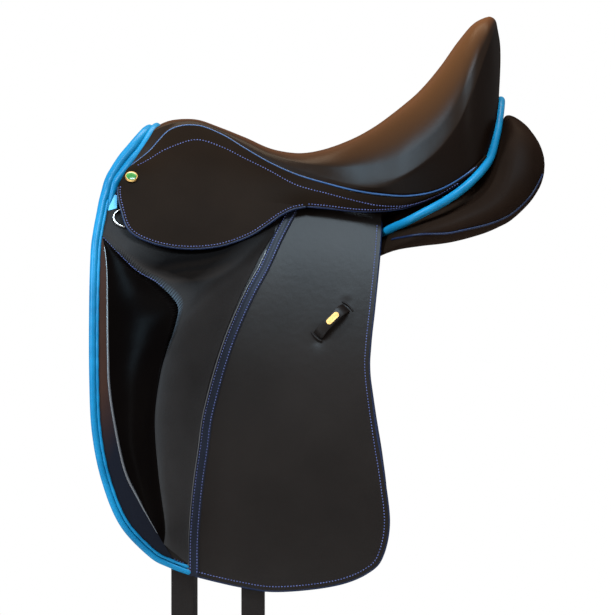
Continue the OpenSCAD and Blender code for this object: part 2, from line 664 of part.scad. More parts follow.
keeper_badge = [17.5, 6.5];
module keeper_plate(s) {
  r = keeper_badge.y / 2;
  color("gold") pair_side(s) on_barrel(keeper_at.x, keeper_at.y, flap_ro) rotate([0, keeper_turn, 0])
    translate([0, keeper_h + keeper_t + 1.1, 0]) rotate([90, 0, 0]) linear_extrude(height = 1) {
      square([keeper_badge.x - 2 * r, 2 * r], center = true);
      for (x = [-1, 1]) translate([x * (keeper_badge.x / 2 - r), 0]) circle(r = r);
    }
}

// Sweat flap
module sweat_flap(s) {
  outline = concat(
    [for (p = moved(front_line, 12)) if (over_flex(p.x, p.y) < -16) p],
    [for (p = moved(rear_line, 13)) if (over_flex(p.x, p.y) < -52) p],
    [under(46, 52), under(-122, 52), under(-122, 98), under(-188, 98), under(-196, 52), under(-203, 16)]
  );
  color("#2a211b") pair_side(s) leather(outline, sweat_ro, sweat_ri);
}

// Girth straps
front_pivot = flex_z(-front_billet_x) - 68;
rear_pivot = flex_z(-rear_billet_x) - 52;
module billet(s, xc, pivot) {
  w = billet_w / 2;
  outline = [[xc - w, pivot + 14], [xc - w, 22 - billet_low], [xc - 4, -billet_low], [xc + 4, -billet_low],
    [xc + w, 22 - billet_low], [xc + w, pivot + 14]];
  color("#33261f") pair_side(s) difference() {
    union() {
      intersection() {
        leather(outline, billet_ro, billet_ri);
        translate([0, axis_y, flex_h]) rotate([0, flex_fall, 0])
          translate([-500, 0, axis_z]) cube([1000, 1000, 600]);
      }
      intersection() {
        through_side(outline);
        translate([0, axis_y, flex_h]) rotate([0, flex_fall, 0])
          translate([-500, billet_ri, axis_z - 500]) cube([1000, billet_t, 500]);
      }
    }
    for (k = [0 : hole_count - 1]) translate([xc, 100, 36 - billet_low + k * hole_pitch])
      rotate([-90, 0, 0]) cylinder(r = hole_r, h = 200);
    on_barrel(xc, pivot, billet_ro) cross_pin(stud_r + pin_play, -9, 5);
  }
}
module front_billet(s) {
  billet(s, -front_billet_x, front_pivot);
}
module rear_billet(s) {
  billet(s, -rear_billet_x, rear_pivot);
}
module billet_studs() {
  color("gray") for (s = [-1, 1]) pair_side(s) {
    on_barrel(-front_billet_x, front_pivot, billet_ro) {
      cross_pin(stud_r, -22, 0.3);
      cross_pin(stud_r + 2, 0.2, strap_gap - 0.25);
    }
    on_barrel(-rear_billet_x, rear_pivot, billet_ro) {
      cross_pin(stud_r, -billet_t - web_t - soft_gap, 0.3);
      cross_pin(stud_r + 2, 0.2, strap_gap - 0.25);
    }
  }
}

// Panels: control lines from front to rear, from the outer side over the top and back along the bottom
pw = panel_half_w;
cw = channel_half_w;
// Point on the inner face of the sweat flap
function at_sweat(x, z, d) = [x, barrel_y(x, z, sweat_ri) - d, z];
panel_outer = [
  [-240, 110, -40], [-196, 108, -38], [-150, 108, -36], at_sweat(-100, -20, 4), at_sweat(-50, -8, 0.5),
  at_sweat(0, 0, 0.5), at_sweat(44, 2, 0.5), [62, 96, 8], [84, pw - 20, 22], [108, pw - 1, 34],
  [142, pw + 3, 44], [174, pw + 1, 57], [194, pw - 1, 67], [211, pw - 6, 78], [232, pw - 18, 92],
  [247, pw - 44, 106]
];
panel_outer_top = [
  [-216, 70, 56], [-186, 60, 52], [-150, 57, 46], [-100, 62, 44], [-50, 70, 38], [0, 72, 36],
  [44, 70, 33], [62, 72, 24], [84, pw - 46, 33], [108, pw - 27, 42], [142, pw - 26, 58],
  [174, pw - 38, 82], [194, pw - 42, 100], [211, pw - 44, 136], [232, pw - 48, 137],
  [247, pw - 56, 116]
];
panel_top = [
  [-202, 46, 88], [-180, 45, 80], [-150, 44, 72], [-100, 48, 62], [-50, 52, 49], [0, 54, 45],
  [44, 54, 43], [62, 60, 42], [84, 68, 52], [108, 78, 62], [142, 80, 82], [174, 72, 106],
  [194, 74, 117], [211, 70, 154], [232, 72, 146], [247, 78, 118]
];
panel_inner_top = [
  [-196, cw - 9, 100], [-178, cw - 8, 94], [-150, cw - 7, 86], [-100, cw - 4, 70], [-50, cw - 2, 53],
  [0, cw - 1, 47], [44, cw, 45], [62, cw, 46], [84, cw, 54], [108, cw, 62], [142, cw, 82],
  [174, cw, 108], [194, cw, 120], [211, cw + 1, 148], [232, cw + 8, 138], [247, cw + 24, 113]
];
panel_inner_low = [
  [-218, cw - 6, 56], [-186, cw - 5, 54], [-150, cw - 4, 48], [-100, cw - 2, 36], [-50, cw - 1, 22],
  [0, cw, 16], [44, cw + 1, 14], [62, cw + 1, 14], [84, cw + 2, 17], [108, cw + 3, 20],
  [142, cw + 4, 25], [174, cw + 5, 34], [194, cw + 6, 42], [211, cw + 8, 53], [232, cw + 12, 76],
  [247, cw + 24, 96]
];
panel_low = [
  [-236, 82, -24], [-194, 86, -24], [-150, 86, -20], [-100, 84, -10], [-50, 80, -5], [0, 75, 0],
  [44, 74, 2], [62, 78, 5], [84, 88, 10], [108, 94, 13], [142, 95, 17], [174, 95, 25], [194, 94, 33],
  [211, 93, 43], [232, 90, 64], [247, 84, 88]
];
panel_outer_low = [
  at_sweat(-246, -56, 3), at_sweat(-198, -56, 1), at_sweat(-150, -54, 1), at_sweat(-100, -40, 0.5),
  at_sweat(-50, -26, 0.5), at_sweat(0, -14, 0.5), at_sweat(44, -9, 0.5), [62, 101, 1],
  [84, pw - 22, 12], [108, pw - 6, 18], [142, pw - 2, 23], [174, pw - 4, 31], [194, pw - 8, 39],
  [211, pw - 13, 48], [232, pw - 26, 68], [247, pw - 50, 92]
];
panel_lines = [
  panel_outer, panel_outer_top, panel_top, panel_inner_top, panel_inner_low, panel_low, panel_outer_low
];
function panel_section(t) = [for (line = panel_lines) through(line, t)];
module panel(s) {
  color("#1d1714") pair_side(s) skin([for (i = [0 : 28]) ring_spline(panel_section(i / 28), 2)]);
}

module panel_welt(s) {
  path = [for (i = [0 : 16]) let (q = panel_section(mix(0.53, 0.97, i / 16)), v = unit(q[0] - q[6]))
    (q[0] + q[6]) / 2 + (welt_r + 1) * [0, v.z, -v.y]];
  color("royalblue") pair_side(s) tube(path, welt_r, [0, 0, 1], 6);
}

module gullet_lining() {
  path = [for (i = [0 : 22]) let (q = panel_section(mix(0.02, 0.79, i / 22)))
    let (a = (q[2] + q[3]) / 2, b = (q[3] + q[4]) / 2, m = 0.25 * a + 0.5 * q[3] + 0.25 * b)
    [a.x, 0, max(a.z, m.z) + lining_t / 2 + 0.6]];
  color("#241c18") band(path, [for (p = path) [0, 1, 0]], 2 * cw - 4, lining_t);
}

// Blue rolls
roll_side = [
  [63, 76, 33.4], [70.5, 85, 35], [80, 105, 38.7], [92, 124, 43], [108, 136, 51], [137, 142, 67],
  [163, 134, 86], [cx - 1, 112, 109], [cx + 10, 83, 135], [cx + 16, 45, 160], [cx + 18, 0, 173]
];
module cantle_roll() {
  n = len(roll_side) - 1;
  line = [for (i = [0 : 22]) through(closing(roll_side), i / 22 * n / (n + 1))];
  path = concat([for (p = line) flip(p)], [for (i = [21 : -1 : 0]) line[i]]);
  color("deepskyblue") tube(path, cantle_roll_r, [0, 0, 1]);
}

function front_edge(u) = u < 0.6 ? seat_pt(0, u / 0.6, cover_t / 2)
  : band_pt(0, mix(0.12, 1, (u - 0.6) / 0.4)) - skirt_t / 2 * band_n(0);
function roll_a(u) = front_edge(u) - [pommel_roll_r + 1, 0, 0];
function roll_b(u) = roll_a(u) + [-8.7 - 0.8 * u, -7 * u, 4 * u - 4.5] * (pommel_roll_r / 4.5);
module pommel_roll() {
  line = [for (i = [0 : 14]) roll_a(i / 14)];
  color("deepskyblue") tube(both(line), pommel_roll_r, [1, 0, 0]);
}
module front_roll() {
  line = [for (i = [0 : 14]) roll_b(i / 14)];
  color("deepskyblue") tube(both(line), pommel_roll_r, [1, 0, 0]);
}
module pommel_facing() {
  line = [for (i = [0 : 12]) let (u = 0.8 * i / 12) roll_b(u) + [3, -17 * u, 11 * u - pommel_roll_r - 14]];
  path = both(line);
  color("#1d1714") band(path, [for (p = path) [0.15, 0.9 * p.y / 70, 1]], 22, 2);
}

// Stirrup bars
bar_x = -131;
bar_z = flex_z(bar_x) - 24;
bar_in = flap_t - bar_t;
bar_back = bar_in - bar_throat;
bar_plate_t = 3.5;
catch_gap = 0.3;
catch_pin_r = 2;
catch_at = bar_l / 2 + bar_h / 2 + 0.5;
catch_floor = bar_in + (bar_t - catch_gap) / 2;
catch_base = catch_floor + catch_gap;
catch_reach = catch_l - bar_h / 2 - 5;
rivet_at = [[-28, 9], [-12, 9], [-28, -9], [-12, -9]];
module bar_frame(s) {
  pair_side(s) on_barrel(bar_x, bar_z, flap_ri) children();
}
module stirrup_bar(s) {
  color("silver") bar_frame(s) difference() {
    union() {
      translate([-bar_l / 2, bar_back - bar_plate_t, -14]) cube([bar_l - 16, bar_plate_t, 28]);
      translate([-bar_l / 2, bar_back - 1, -bar_h / 2]) cube([11, bar_throat + bar_t + 1, bar_h]);
      translate([-bar_l / 2, bar_in, -bar_h / 2]) cube([bar_l, bar_t, bar_h]);
      translate([bar_l / 2 - 1, bar_in, -bar_h / 2]) cube([bar_h / 2 + 1.5, catch_floor - bar_in, bar_h]);
      translate([catch_at, 0, 0]) cross_pin(bar_h / 2, bar_in, catch_floor);
    }
    translate([catch_at, 0, 0]) cross_pin(catch_pin_r + pin_play, bar_in - 1, flap_t);
    for (q = rivet_at) translate([q.x, 0, q.y])
      cross_pin(rivet_r + pin_play, bar_back - bar_plate_t - 1, bar_back + 1);
  }
}
module bar_catch(s) {
  color("lightgray") bar_frame(s) translate([catch_at, 0, 0]) difference() {
    union() {
      cross_pin(bar_h / 2, catch_base, flap_t);
      translate([0, catch_base, -bar_h / 2]) cube([catch_reach, flap_t - catch_base, bar_h - 2]);
      translate([catch_reach, 0, -1]) cross_pin(bar_h / 2 - 1, catch_base, flap_t);
    }
    cross_pin(catch_pin_r + pin_play, bar_in, flap_t + 1);
  }
}
module catch_pins() {
  color("gray") for (s = [-1, 1]) bar_frame(s) translate([catch_at, 0, 0]) {
    cross_pin(catch_pin_r, bar_in - 0.6, flap_t + 0.3);
    cross_pin(catch_pin_r + 1.2, flap_t + 0.2, flap_t + 1.2);
    cross_pin(catch_pin_r + 1.2, bar_in - 1.4, bar_in - 0.2);
  }
}
module bar_rivets() {
  color("gray") for (s = [-1, 1]) bar_frame(s) for (q = rivet_at) translate([q.x, 0, q.y]) {
    cross_pin(rivet_r, bar_back - bar_plate_t - 7, bar_back + 0.3);
    cross_pin(rivet_r + 1.3, bar_back + 0.2, bar_back + 1.2);
  }
}

// D-rings
ring_at = [-216, 48];
ring_lift = 2.5;
tab_w = 12;
tab_l = 48;
tab_nail = 43;
module ring_frame(s) {
  pair_side(s) on_barrel(ring_at.x, ring_at.y, flap_ro + ring_lift) children();
}
module d_ring(s) {
  mid = ring_r + wire_r;
  color("silver") ring_frame(s) {
    translate([0, 0, -mid]) cylinder(r = wire_r, h = 2 * mid);
    rotate([90, 0, 0]) rotate([0, 0, 90]) rotate_extrude(angle = 180) translate([mid, 0]) circle(r = wire_r);
    for (z = [-1, 1]) translate([0, 0, z * mid]) sphere(r = wire_r);
  }
}
module ring_tabs() {
  color("#1d1714") for (s = [-1, 1]) ring_frame(s) difference() {
    union() {
      translate([0, -1, -tab_w / 2]) cube([tab_l, 2, tab_w]);
      translate([0, 0, -tab_w / 2]) cylinder(r = wire_r + 1.2, h = tab_w);
    }
    translate([0, 0, -tab_w]) cylinder(r = wire_r + pin_play, h = 2 * tab_w);
    translate([tab_nail, 0, 0]) cross_pin(nail_r + pin_play, -3, 3);
  }
}

tree();
head_plate();
gullet_plate();
spring_steels();
tree_rivets();
seat_web();
girth_web();
seat_foam();
seat_cover();
seat_welt(-1);  // seat_welt_left
seat_welt(1);  // seat_welt_right
skirt_top(-1);  // skirt_top_left
skirt_top(1);  // skirt_top_right
skirt(-1);  // skirt_left
skirt(1);  // skirt_right
skirt_studs();
flap(-1);  // flap_left
flap(1);  // flap_right
flap_top(-1);  // flap_top_left
flap_top(1);  // flap_top_right
tree_nails();
flap_binding(-1);  // flap_binding_left
flap_binding(1);  // flap_binding_right
flap_strip(-1);  // flap_strip_left
flap_strip(1);  // flap_strip_right
block_face(-1);  // block_face_left
block_face(1);  // block_face_right
thigh_panel(-1);  // thigh_panel_left
thigh_panel(1);  // thigh_panel_right
block_foam(-1);  // block_foam_left
block_foam(1);  // block_foam_right
keeper(-1);  // keeper_left
keeper(1);  // keeper_right
keeper_plate(-1);  // keeper_plate_left
keeper_plate(1);  // keeper_plate_right
sweat_flap(-1);  // sweat_flap_left
sweat_flap(1);  // sweat_flap_right
front_billet(-1);  // front_billet_left
front_billet(1);  // front_billet_right
rear_billet(-1);  // rear_billet_left
rear_billet(1);  // rear_billet_right
billet_studs();
panel(-1);  // panel_left
panel(1);  // panel_right
panel_welt(-1);  // panel_welt_left
panel_welt(1);  // panel_welt_right
gullet_lining();
cantle_roll();
pommel_roll();
front_roll();
pommel_facing();
stirrup_bar(-1);  // stirrup_bar_left
stirrup_bar(1);  // stirrup_bar_right
bar_catch(-1);  // bar_catch_left
bar_catch(1);  // bar_catch_right
catch_pins();
bar_rivets();
d_ring(-1);  // d_ring_left
d_ring(1);  // d_ring_right
ring_tabs();
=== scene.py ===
import math
import bpy
import bmesh
from mathutils import Matrix, Vector, noise


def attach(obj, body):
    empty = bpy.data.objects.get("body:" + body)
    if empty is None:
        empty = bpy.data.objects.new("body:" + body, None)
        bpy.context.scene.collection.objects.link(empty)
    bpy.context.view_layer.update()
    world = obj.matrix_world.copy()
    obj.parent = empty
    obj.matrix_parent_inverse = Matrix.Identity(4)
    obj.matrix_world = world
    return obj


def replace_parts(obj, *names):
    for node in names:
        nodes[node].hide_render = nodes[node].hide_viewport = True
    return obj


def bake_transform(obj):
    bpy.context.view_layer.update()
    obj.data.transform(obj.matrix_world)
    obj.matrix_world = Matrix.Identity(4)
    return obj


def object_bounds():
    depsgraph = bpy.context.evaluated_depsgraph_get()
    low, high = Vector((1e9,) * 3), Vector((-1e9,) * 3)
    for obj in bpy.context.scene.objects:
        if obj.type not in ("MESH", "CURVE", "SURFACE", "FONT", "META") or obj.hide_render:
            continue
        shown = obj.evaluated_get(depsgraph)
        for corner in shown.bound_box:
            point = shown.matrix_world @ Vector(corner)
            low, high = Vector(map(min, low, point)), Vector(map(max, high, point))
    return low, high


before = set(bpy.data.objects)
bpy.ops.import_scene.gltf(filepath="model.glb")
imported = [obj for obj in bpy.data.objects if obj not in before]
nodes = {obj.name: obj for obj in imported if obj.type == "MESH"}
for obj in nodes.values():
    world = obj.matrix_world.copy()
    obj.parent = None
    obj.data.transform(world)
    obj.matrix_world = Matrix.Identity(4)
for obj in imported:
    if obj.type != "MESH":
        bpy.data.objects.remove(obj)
cadLow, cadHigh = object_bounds()
mm = 0.001
upZ, outY = Vector((0, 0, 1)), Vector((0, 1, 0))
sides = {"left": -1, "right": 1}
print("frame loaded:", len(nodes), "nodes")


# curves

def mix(a, b, f):
    return a + (b - a) * f


def fade(a, b, x):  # 0 before a, 1 after b
    f = min(max((x - a) / (b - a), 0), 1)
    return f * f * (3 - 2 * f)


def spread(start, end, steps):  # even values from start to end
    return [mix(start, end, i / steps) for i in range(steps + 1)]


def vectors(points):
    return [Vector(p) for p in points]


def pastCentre(points):  # one point more on the other side, so that both halves join smoothly
    x, y, z = points[-2]
    return vectors(points + [(x, -y, z)])


def bothSides(half):  # right half, which starts on the centre line, and its mirror image
    return [Vector((p.x, -p.y, p.z)) for p in reversed(half)] + half[1:]


def through(points, t):  # smooth curve through the points
    n = len(points) - 1
    u = min(max(t, 0), 1) * n
    i = min(int(u), n - 1)
    f = u - i
    a, b, c, d = points[max(i - 1, 0)], points[i], points[i + 1], points[min(i + 2, n)]
    return 0.5 * (2 * b + (c - a) * f + (2 * a - 5 * b + 4 * c - d) * f * f
                  + (3 * b - a - 3 * c + d) * f ** 3)


def openSpline(points, t):  # leaves its first and reaches its last control point
    n = len(points) - 2
    u = min(max(t, 0), 1) * n
    i = min(int(u), n - 1)
    f = u - i
    a = points[0] if i == 0 else (points[i] + points[i + 1]) / 2
    c = points[n + 1] if i == n - 1 else (points[i + 1] + points[i + 2]) / 2
    return (1 - f) ** 2 * a + 2 * f * (1 - f) * points[i + 1] + f * f * c


def ringSpline(points, t):  # closed, t from 0 to 1
    n = len(points)
    u = (t % 1) * n
    i = int(u) % n
    f = u - int(u)
    a, c = (points[i - 1] + points[i]) / 2, (points[i] + points[(i + 1) % n]) / 2
    return (1 - f) ** 2 * a + 2 * f * (1 - f) * points[i] + f * f * c


def measured(points, steps=400):  # points along a curve, and the length up to each of them
    fine = [through(points, t) for t in spread(0, 1, steps)]
    total = [0]
    for a, b in zip(fine, fine[1:]):
        total.append(total[-1] + (b - a).length)
    return fine, total


def byLength(points):  # curve with t as the share of the length
    fine, total = measured(points)

    def curve(t):
        want = min(max(t, 0), 1) * total[-1]
        lo, hi = 0, len(fine) - 1
        while hi - lo > 1:
            half = (lo + hi) // 2
            lo, hi = (half, hi) if total[half] <= want else (lo, half)
        return fine[lo].lerp(fine[hi], (want - total[lo]) / max(total[hi] - total[lo], 1e-9))

    return curve


def moved(curve, d):  # side-view curve shifted to its left
    def shifted(t):
        w = curve(min(t + 0.004, 1)) - curve(max(t - 0.004, 0))
        w.normalize()
        return curve(t) + d * Vector((-w.y, w.x))
    return shifted


# barrel that the skirts and flaps lie on
barrel = {"halfWidth": 97, "height": 57, "fall": math.radians(6), "lean": math.radians(34),
          "skirtR": 730, "flapR": 719}
axisY = barrel["halfWidth"] - barrel["skirtR"] * math.cos(barrel["lean"])
axisZ = -barrel["skirtR"] * math.sin(barrel["lean"])
flexAlong = Vector((math.cos(barrel["fall"]), 0, -math.sin(barrel["fall"])))
flexUp = Vector((math.sin(barrel["fall"]), 0, math.cos(barrel["fall"])))
hinge = Vector((0, barrel["halfWidth"], barrel["height"]))  # a point of the flex line


def flexZ(x):
    return barrel["height"] - math.tan(barrel["fall"]) * x


def overFlex(x, z):  # distance above the flex line
    return x * math.sin(barrel["fall"]) + (z - barrel["height"]) * math.cos(barrel["fall"])


def onBarrel(x, z, r, h=0):  # point and outward direction
    s = (overFlex(x, z) - axisZ) / r
    c = math.sqrt(1 - s * s)
    n = Vector((s * flexUp.x, c, s * flexUp.z))
    return Vector((x, axisY + r * c, z)) + h * n, n


def onFlap(curve, start=0, end=1, h=0):  # side-view curve laid on the flap's face
    return lambda u: onBarrel(*curve(mix(start, end, u)), barrel["flapR"], h)[0]


def overLine(side, upper, lower, above, below):  # two bodies, and where leather turns from one to the other
    turn = Matrix.Diagonal((1, sides[side], 1))
    return upper, lower, turn @ (hinge + above * flexUp) * mm, turn @ (hinge - below * flexUp) * mm


# mesh makers

def finishPiece(name, bm, material, body=None, smooth=True):
    mesh = bpy.data.meshes.new(name)
    bm.to_mesh(mesh)
    bm.free()
    for p in mesh.polygons:
        p.use_smooth = smooth
    obj = bpy.data.objects.new(name, mesh)
    bpy.context.scene.collection.objects.link(obj)
    obj.data.materials.append(material)
    if body:
        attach(obj, body)
    return obj


def gridMesh(place, along, across, side=1, weld=False):  # place(u, w) gives millimetres on the right side
    bm = bmesh.new()
    bmesh.ops.create_grid(bm, x_segments=along, y_segments=across, size=0.5)
    uv = bm.loops.layers.uv.new("surface")
    for f in bm.faces:
        for loop in f.loops:
            loop[uv].uv = (loop.vert.co.x + 0.5, loop.vert.co.y + 0.5)
    for v in bm.verts:
        p = place(v.co.x + 0.5, v.co.y + 0.5)
        v.co = Vector((p.x, p.y * side, p.z)) * mm
    if weld:
        bmesh.ops.remove_doubles(bm, verts=bm.verts, dist=0.00002)
    return bm


def sheetPiece(name, bm, outward, material, body, thickness, edge=None):
    bm.normal_update()
    f = list(bm.faces)[len(bm.faces) // 2]
    if f.normal.dot(outward) < 0:  # the middle of the sheet looks outward
        bmesh.ops.reverse_faces(bm, faces=bm.faces)
    for e in bm.edges:
        e.smooth = not e.is_boundary
    obj = finishPiece(name, bm, material, body)
    solid = obj.modifiers.new("thickness", "SOLIDIFY")  # leather behind the face
    solid.thickness, solid.offset = thickness * mm, -1
    if edge:
        bevel = obj.modifiers.new("edge", "BEVEL")
        bevel.width, bevel.segments = edge * mm, 2
        bevel.limit_method, bevel.angle_limit = "ANGLE", math.radians(50)
    return obj


def tubeMesh(curve, radius, along, up, side=1, around=16, ends=True, shape=None):
    def place(u, w):
        p = curve(u)
        v = (curve(min(u + 0.003, 1)) - curve(max(u - 0.003, 0))).normalized()
        n = (up - up.dot(v) * v).normalized()
        b = v.cross(n)
        a = 2 * math.pi * w
        r = radius(u) if callable(radius) else radius
        if ends:  # rounded over the last two steps
            cap = min(u, 1 - u) * along
            r *= math.sqrt(max(0.0001, 1 - max(0, 1 - cap / 2) ** 2))
        if shape:
            r *= shape(u, a)
        return p + r * (math.cos(a) * n + math.sin(a) * b)
    bm = gridMesh(place, along, around, side, weld=True)
    bmesh.ops.recalc_face_normals(bm, faces=bm.faces)
    return bm


def bandMesh(line, lie, width, along, across):  # flat band on a line, lie(p) points across it
    def place(u, w):
        p = through(line, u)
        v = (through(line, min(u + 0.01, 1)) - through(line, max(u - 0.01, 0))).normalized()
        q = lie(p)
        return p + (w - 0.5) * width * (q - q.dot(v) * v).normalized()
    return gridMesh(place, along, across)


stitch = {"pitch": 3.3, "length": 2.2, "width": 1.35, "height": 0.8}


def stitchRow(name, rows, body, side=1, look=stitch):  # rows of (point, normal) in millimetres
    bm = bmesh.new()
    for row in rows:
        dots, gone = row[:1], 0
        for a, b in zip(row, row[1:]):
            gone += (b[0] - a[0]).length
            if gone > look["pitch"]:
                gone -= look["pitch"]
                dots.append(b)
        for (p, n), (q, _) in zip(dots, dots[1:]):
            d = (q - p).normalized()
            n = (n - n.dot(d) * d).normalized()
            m = Matrix((d, n.cross(d), n)).transposed().to_4x4()
            m.translation = p
            size = Matrix.Diagonal((look["length"] / 2, look["width"] / 2, look["height"] / 2, 1))
            m = Matrix.Diagonal((mm, side * mm, mm, 1)) @ m @ size
            bmesh.ops.create_icosphere(bm, subdivisions=1, radius=1, matrix=m)
    bmesh.ops.recalc_face_normals(bm, faces=bm.faces)
    return finishPiece(name, bm, threadMat, body)


# materials

def newMaterial(name):
    m = bpy.data.materials.new(name)
    m.use_nodes = True
    t = m.node_tree
    return m, t, t.nodes["Principled BSDF"], t.nodes.new("ShaderNodeTexCoord")


def addNoise(t, coords, scale, detail=3, rough=0.5):
    n = t.nodes.new("ShaderNodeTexNoise")
    n.inputs["Scale"].default_value = scale
    n.inputs["Detail"].default_value = detail
    n.inputs["Roughness"].default_value = rough
    t.links.new(coords, n.inputs["Vector"])
    return n.outputs["Fac"]


def addRamp(t, fac, stops):
    r = t.nodes.new("ShaderNodeValToRGB")
    for e, (pos, colour) in zip(r.color_ramp.elements, stops):
        e.position, e.color = pos, (*colour, 1)
    t.links.new(fac, r.inputs["Fac"])
    return r.outputs["Color"]


def addRange(t, value, low, high, start=0, end=1):
    r = t.nodes.new("ShaderNodeMapRange")
    for socket, limit in (("From Min", start), ("From Max", end), ("To Min", low), ("To Max", high)):
        r.inputs[socket].default_value = limit
    t.links.new(value, r.inputs["Value"])
    return r.outputs["Result"]


def addMath(t, operation, a, b):
    n = t.nodes.new("ShaderNodeMath")
    n.operation = operation
    t.links.new(a, n.inputs[0])
    t.links.new(b, n.inputs[1])
    return n.outputs[0]


def addBump(t, height, strength, distance, under=None):
    b = t.nodes.new("ShaderNodeBump")
    b.inputs["Strength"].default_value, b.inputs["Distance"].default_value = strength, distance
    t.links.new(height, b.inputs["Height"])
    if under:
        t.links.new(under, b.inputs["Normal"])
    return b.outputs["Normal"]


def leatherMat(name, look):
    m, t, s, tc = newMaterial(name)
    obj = tc.outputs["Object"]
    cloud = addNoise(t, obj, look.get("cloud", 9), 4)
    colour = addRamp(t, cloud, [(0.3, look["dark"]), (0.75, look["pale"])])
    # painted light and shade: each entry lays a lighter or darker colour over the part of the piece where
    # light or shade falls
    for paintedColour, where in look.get("paintedLight", []):  # another colour over part of the piece
        split, blend = t.nodes.new("ShaderNodeSeparateXYZ"), t.nodes.new("ShaderNodeMixRGB")
        t.links.new(tc.outputs["UV"], split.inputs[0])
        share = None
        for axis, start, end, most in where:
            part = addRange(t, split.outputs[axis], 0, most, start, end)
            share = addMath(t, "MULTIPLY", share, part) if share else part
        t.links.new(share, blend.inputs["Fac"])
        t.links.new(colour, blend.inputs["Color1"])
        blend.inputs["Color2"].default_value = (*paintedColour, 1)
        colour = blend.outputs["Color"]
    t.links.new(colour, s.inputs["Base Color"])
    rough = addRange(t, addNoise(t, obj, 60, 5, 0.65), look["rough"] - 0.07, look["rough"] + 0.09)
    cells = t.nodes.new("ShaderNodeTexVoronoi")
    cells.feature = "SMOOTH_F1"
    cells.inputs["Scale"].default_value = look["grain"]
    t.links.new(obj, cells.inputs["Vector"])
    pores = addBump(t, cells.outputs["Distance"], look["bump"], 0.0006)
    soft = addBump(t, addNoise(t, obj, 140, 4), look.get("soft", 0.12), 0.0008, pores)
    t.links.new(rough, s.inputs["Roughness"])
    for socket in ("Normal", "Coat Normal"):
        t.links.new(soft, s.inputs[socket])
    s.inputs["Specular IOR Level"].default_value = 0
    s.inputs["Coat Weight"].default_value, s.inputs["Coat IOR"].default_value = look["coat"], 2
    s.inputs["Coat Roughness"].default_value = look["rough"]
    return m


def metalMat(name, colour, rough, grain=300):
    m, t, s, tc = newMaterial(name)
    s.inputs["Metallic"].default_value = 1
    wear = addNoise(t, tc.outputs["Object"], grain, 4)
    dull = tuple(c * 0.8 for c in colour)
    t.links.new(addRamp(t, wear, [(0.35, dull), (0.65, colour)]), s.inputs["Base Color"])
    t.links.new(addRange(t, wear, rough * 0.7, rough * 1.4), s.inputs["Roughness"])
    t.links.new(addBump(t, addNoise(t, tc.outputs["Object"], 900, 2), 0.05, 0.0003), s.inputs["Normal"])
    return m


def wovenMat(name, dark, pale, pitch):
    m, t, s, tc = newMaterial(name)
    heights = []
    for turn in (0, math.pi / 2):
        place = t.nodes.new("ShaderNodeMapping")
        place.inputs["Rotation"].default_value = (0, 0, turn)
        t.links.new(tc.outputs["Object"], place.inputs["Vector"])
        w = t.nodes.new("ShaderNodeTexWave")
        w.inputs["Scale"].default_value = 1 / (pitch * mm) / 6.3
        w.inputs["Distortion"].default_value = 0.6
        t.links.new(place.outputs["Vector"], w.inputs["Vector"])
        heights.append(w.outputs["Fac"])
    weave = addMath(t, "MULTIPLY", *heights)
    t.links.new(addRamp(t, weave, [(0.1, dark), (0.8, pale)]), s.inputs["Base Color"])
    t.links.new(addBump(t, weave, 0.5, 0.0006), s.inputs["Normal"])
    s.inputs["Roughness"].default_value = 0.85
    return m


# painted light: the top of the seat lighter and browner, lightest over the cantle, where light from above and
# behind falls; painted shade: darker bands low on both sides of the cantle's back
seatMat = leatherMat("seatLeather", {
    "dark": (0.0085, 0.0042, 0.0024), "pale": (0.014, 0.007, 0.004),
    "paintedLight": [((0.042, 0.0152, 0.0053), [("Y", 0.25, 0.4, 1), ("Y", 0.75, 0.6, 1)]),
              ((0.081, 0.0285, 0.0088), [("Y", 0.25, 0.4, 1), ("Y", 0.75, 0.6, 1), ("X", 0.45, 0.8, 1)]),
              ((0.005, 0.0022, 0.0012), [("Y", 0.18, 0.15, 1), ("X", 0.55, 0.66, 1)]),
              ((0.005, 0.0022, 0.0012), [("Y", 0.82, 0.85, 1), ("X", 0.55, 0.66, 1)])],
    "rough": 0.33, "grain": 1100, "bump": 0.08, "coat": 0.042})
skirtMat = leatherMat("skirtLeather", {
    "dark": (0.0082, 0.0045, 0.0028), "pale": (0.013, 0.0073, 0.0045),
    "rough": 0.4, "grain": 1300, "bump": 0.08, "coat": 0.006})
smoothMat = leatherMat("smoothLeather", {
    "dark": (0.0072, 0.0048, 0.0038), "pale": (0.0125, 0.0086, 0.007),
    "rough": 0.37, "grain": 1300, "bump": 0.07, "soft": 0.2, "coat": 0.075})
# painted shadow: the upper part of the thigh panel, where the skirt overhangs it, nearly black; painted
# highlight: a light bluish grey band along the ridge where it turns downward
grainMat = leatherMat("grainedLeather", {
    "dark": (0.018, 0.0152, 0.0142), "pale": (0.031, 0.0265, 0.025),
    "paintedLight": [((0.003, 0.0024, 0.0023), [("X", 0.47, 0.33, 1), ("X", 0.09, 0.22, 1), ("Y", 0.15, 0.42, 1)]),
              ((0.08, 0.1, 0.12), [("Y", 0.2, 0.02, 0.9), ("X", 0.2, 0.33, 1), ("X", 0.56, 0.42, 1)])],
    "rough": 0.42, "grain": 620, "bump": 0.4, "coat": 0.006})
# near black, far darker than the smooth flap leather: the face's own dark leather plus painted shade of a
# face that turns away from the light
blackAndShadeMat = leatherMat("blackLeatherAndShade", {
    "dark": (0.0012, 0.0007, 0.0006), "pale": (0.0024, 0.0015, 0.0012),
    "rough": 0.26, "grain": 1400, "bump": 0.04, "coat": 0.004})
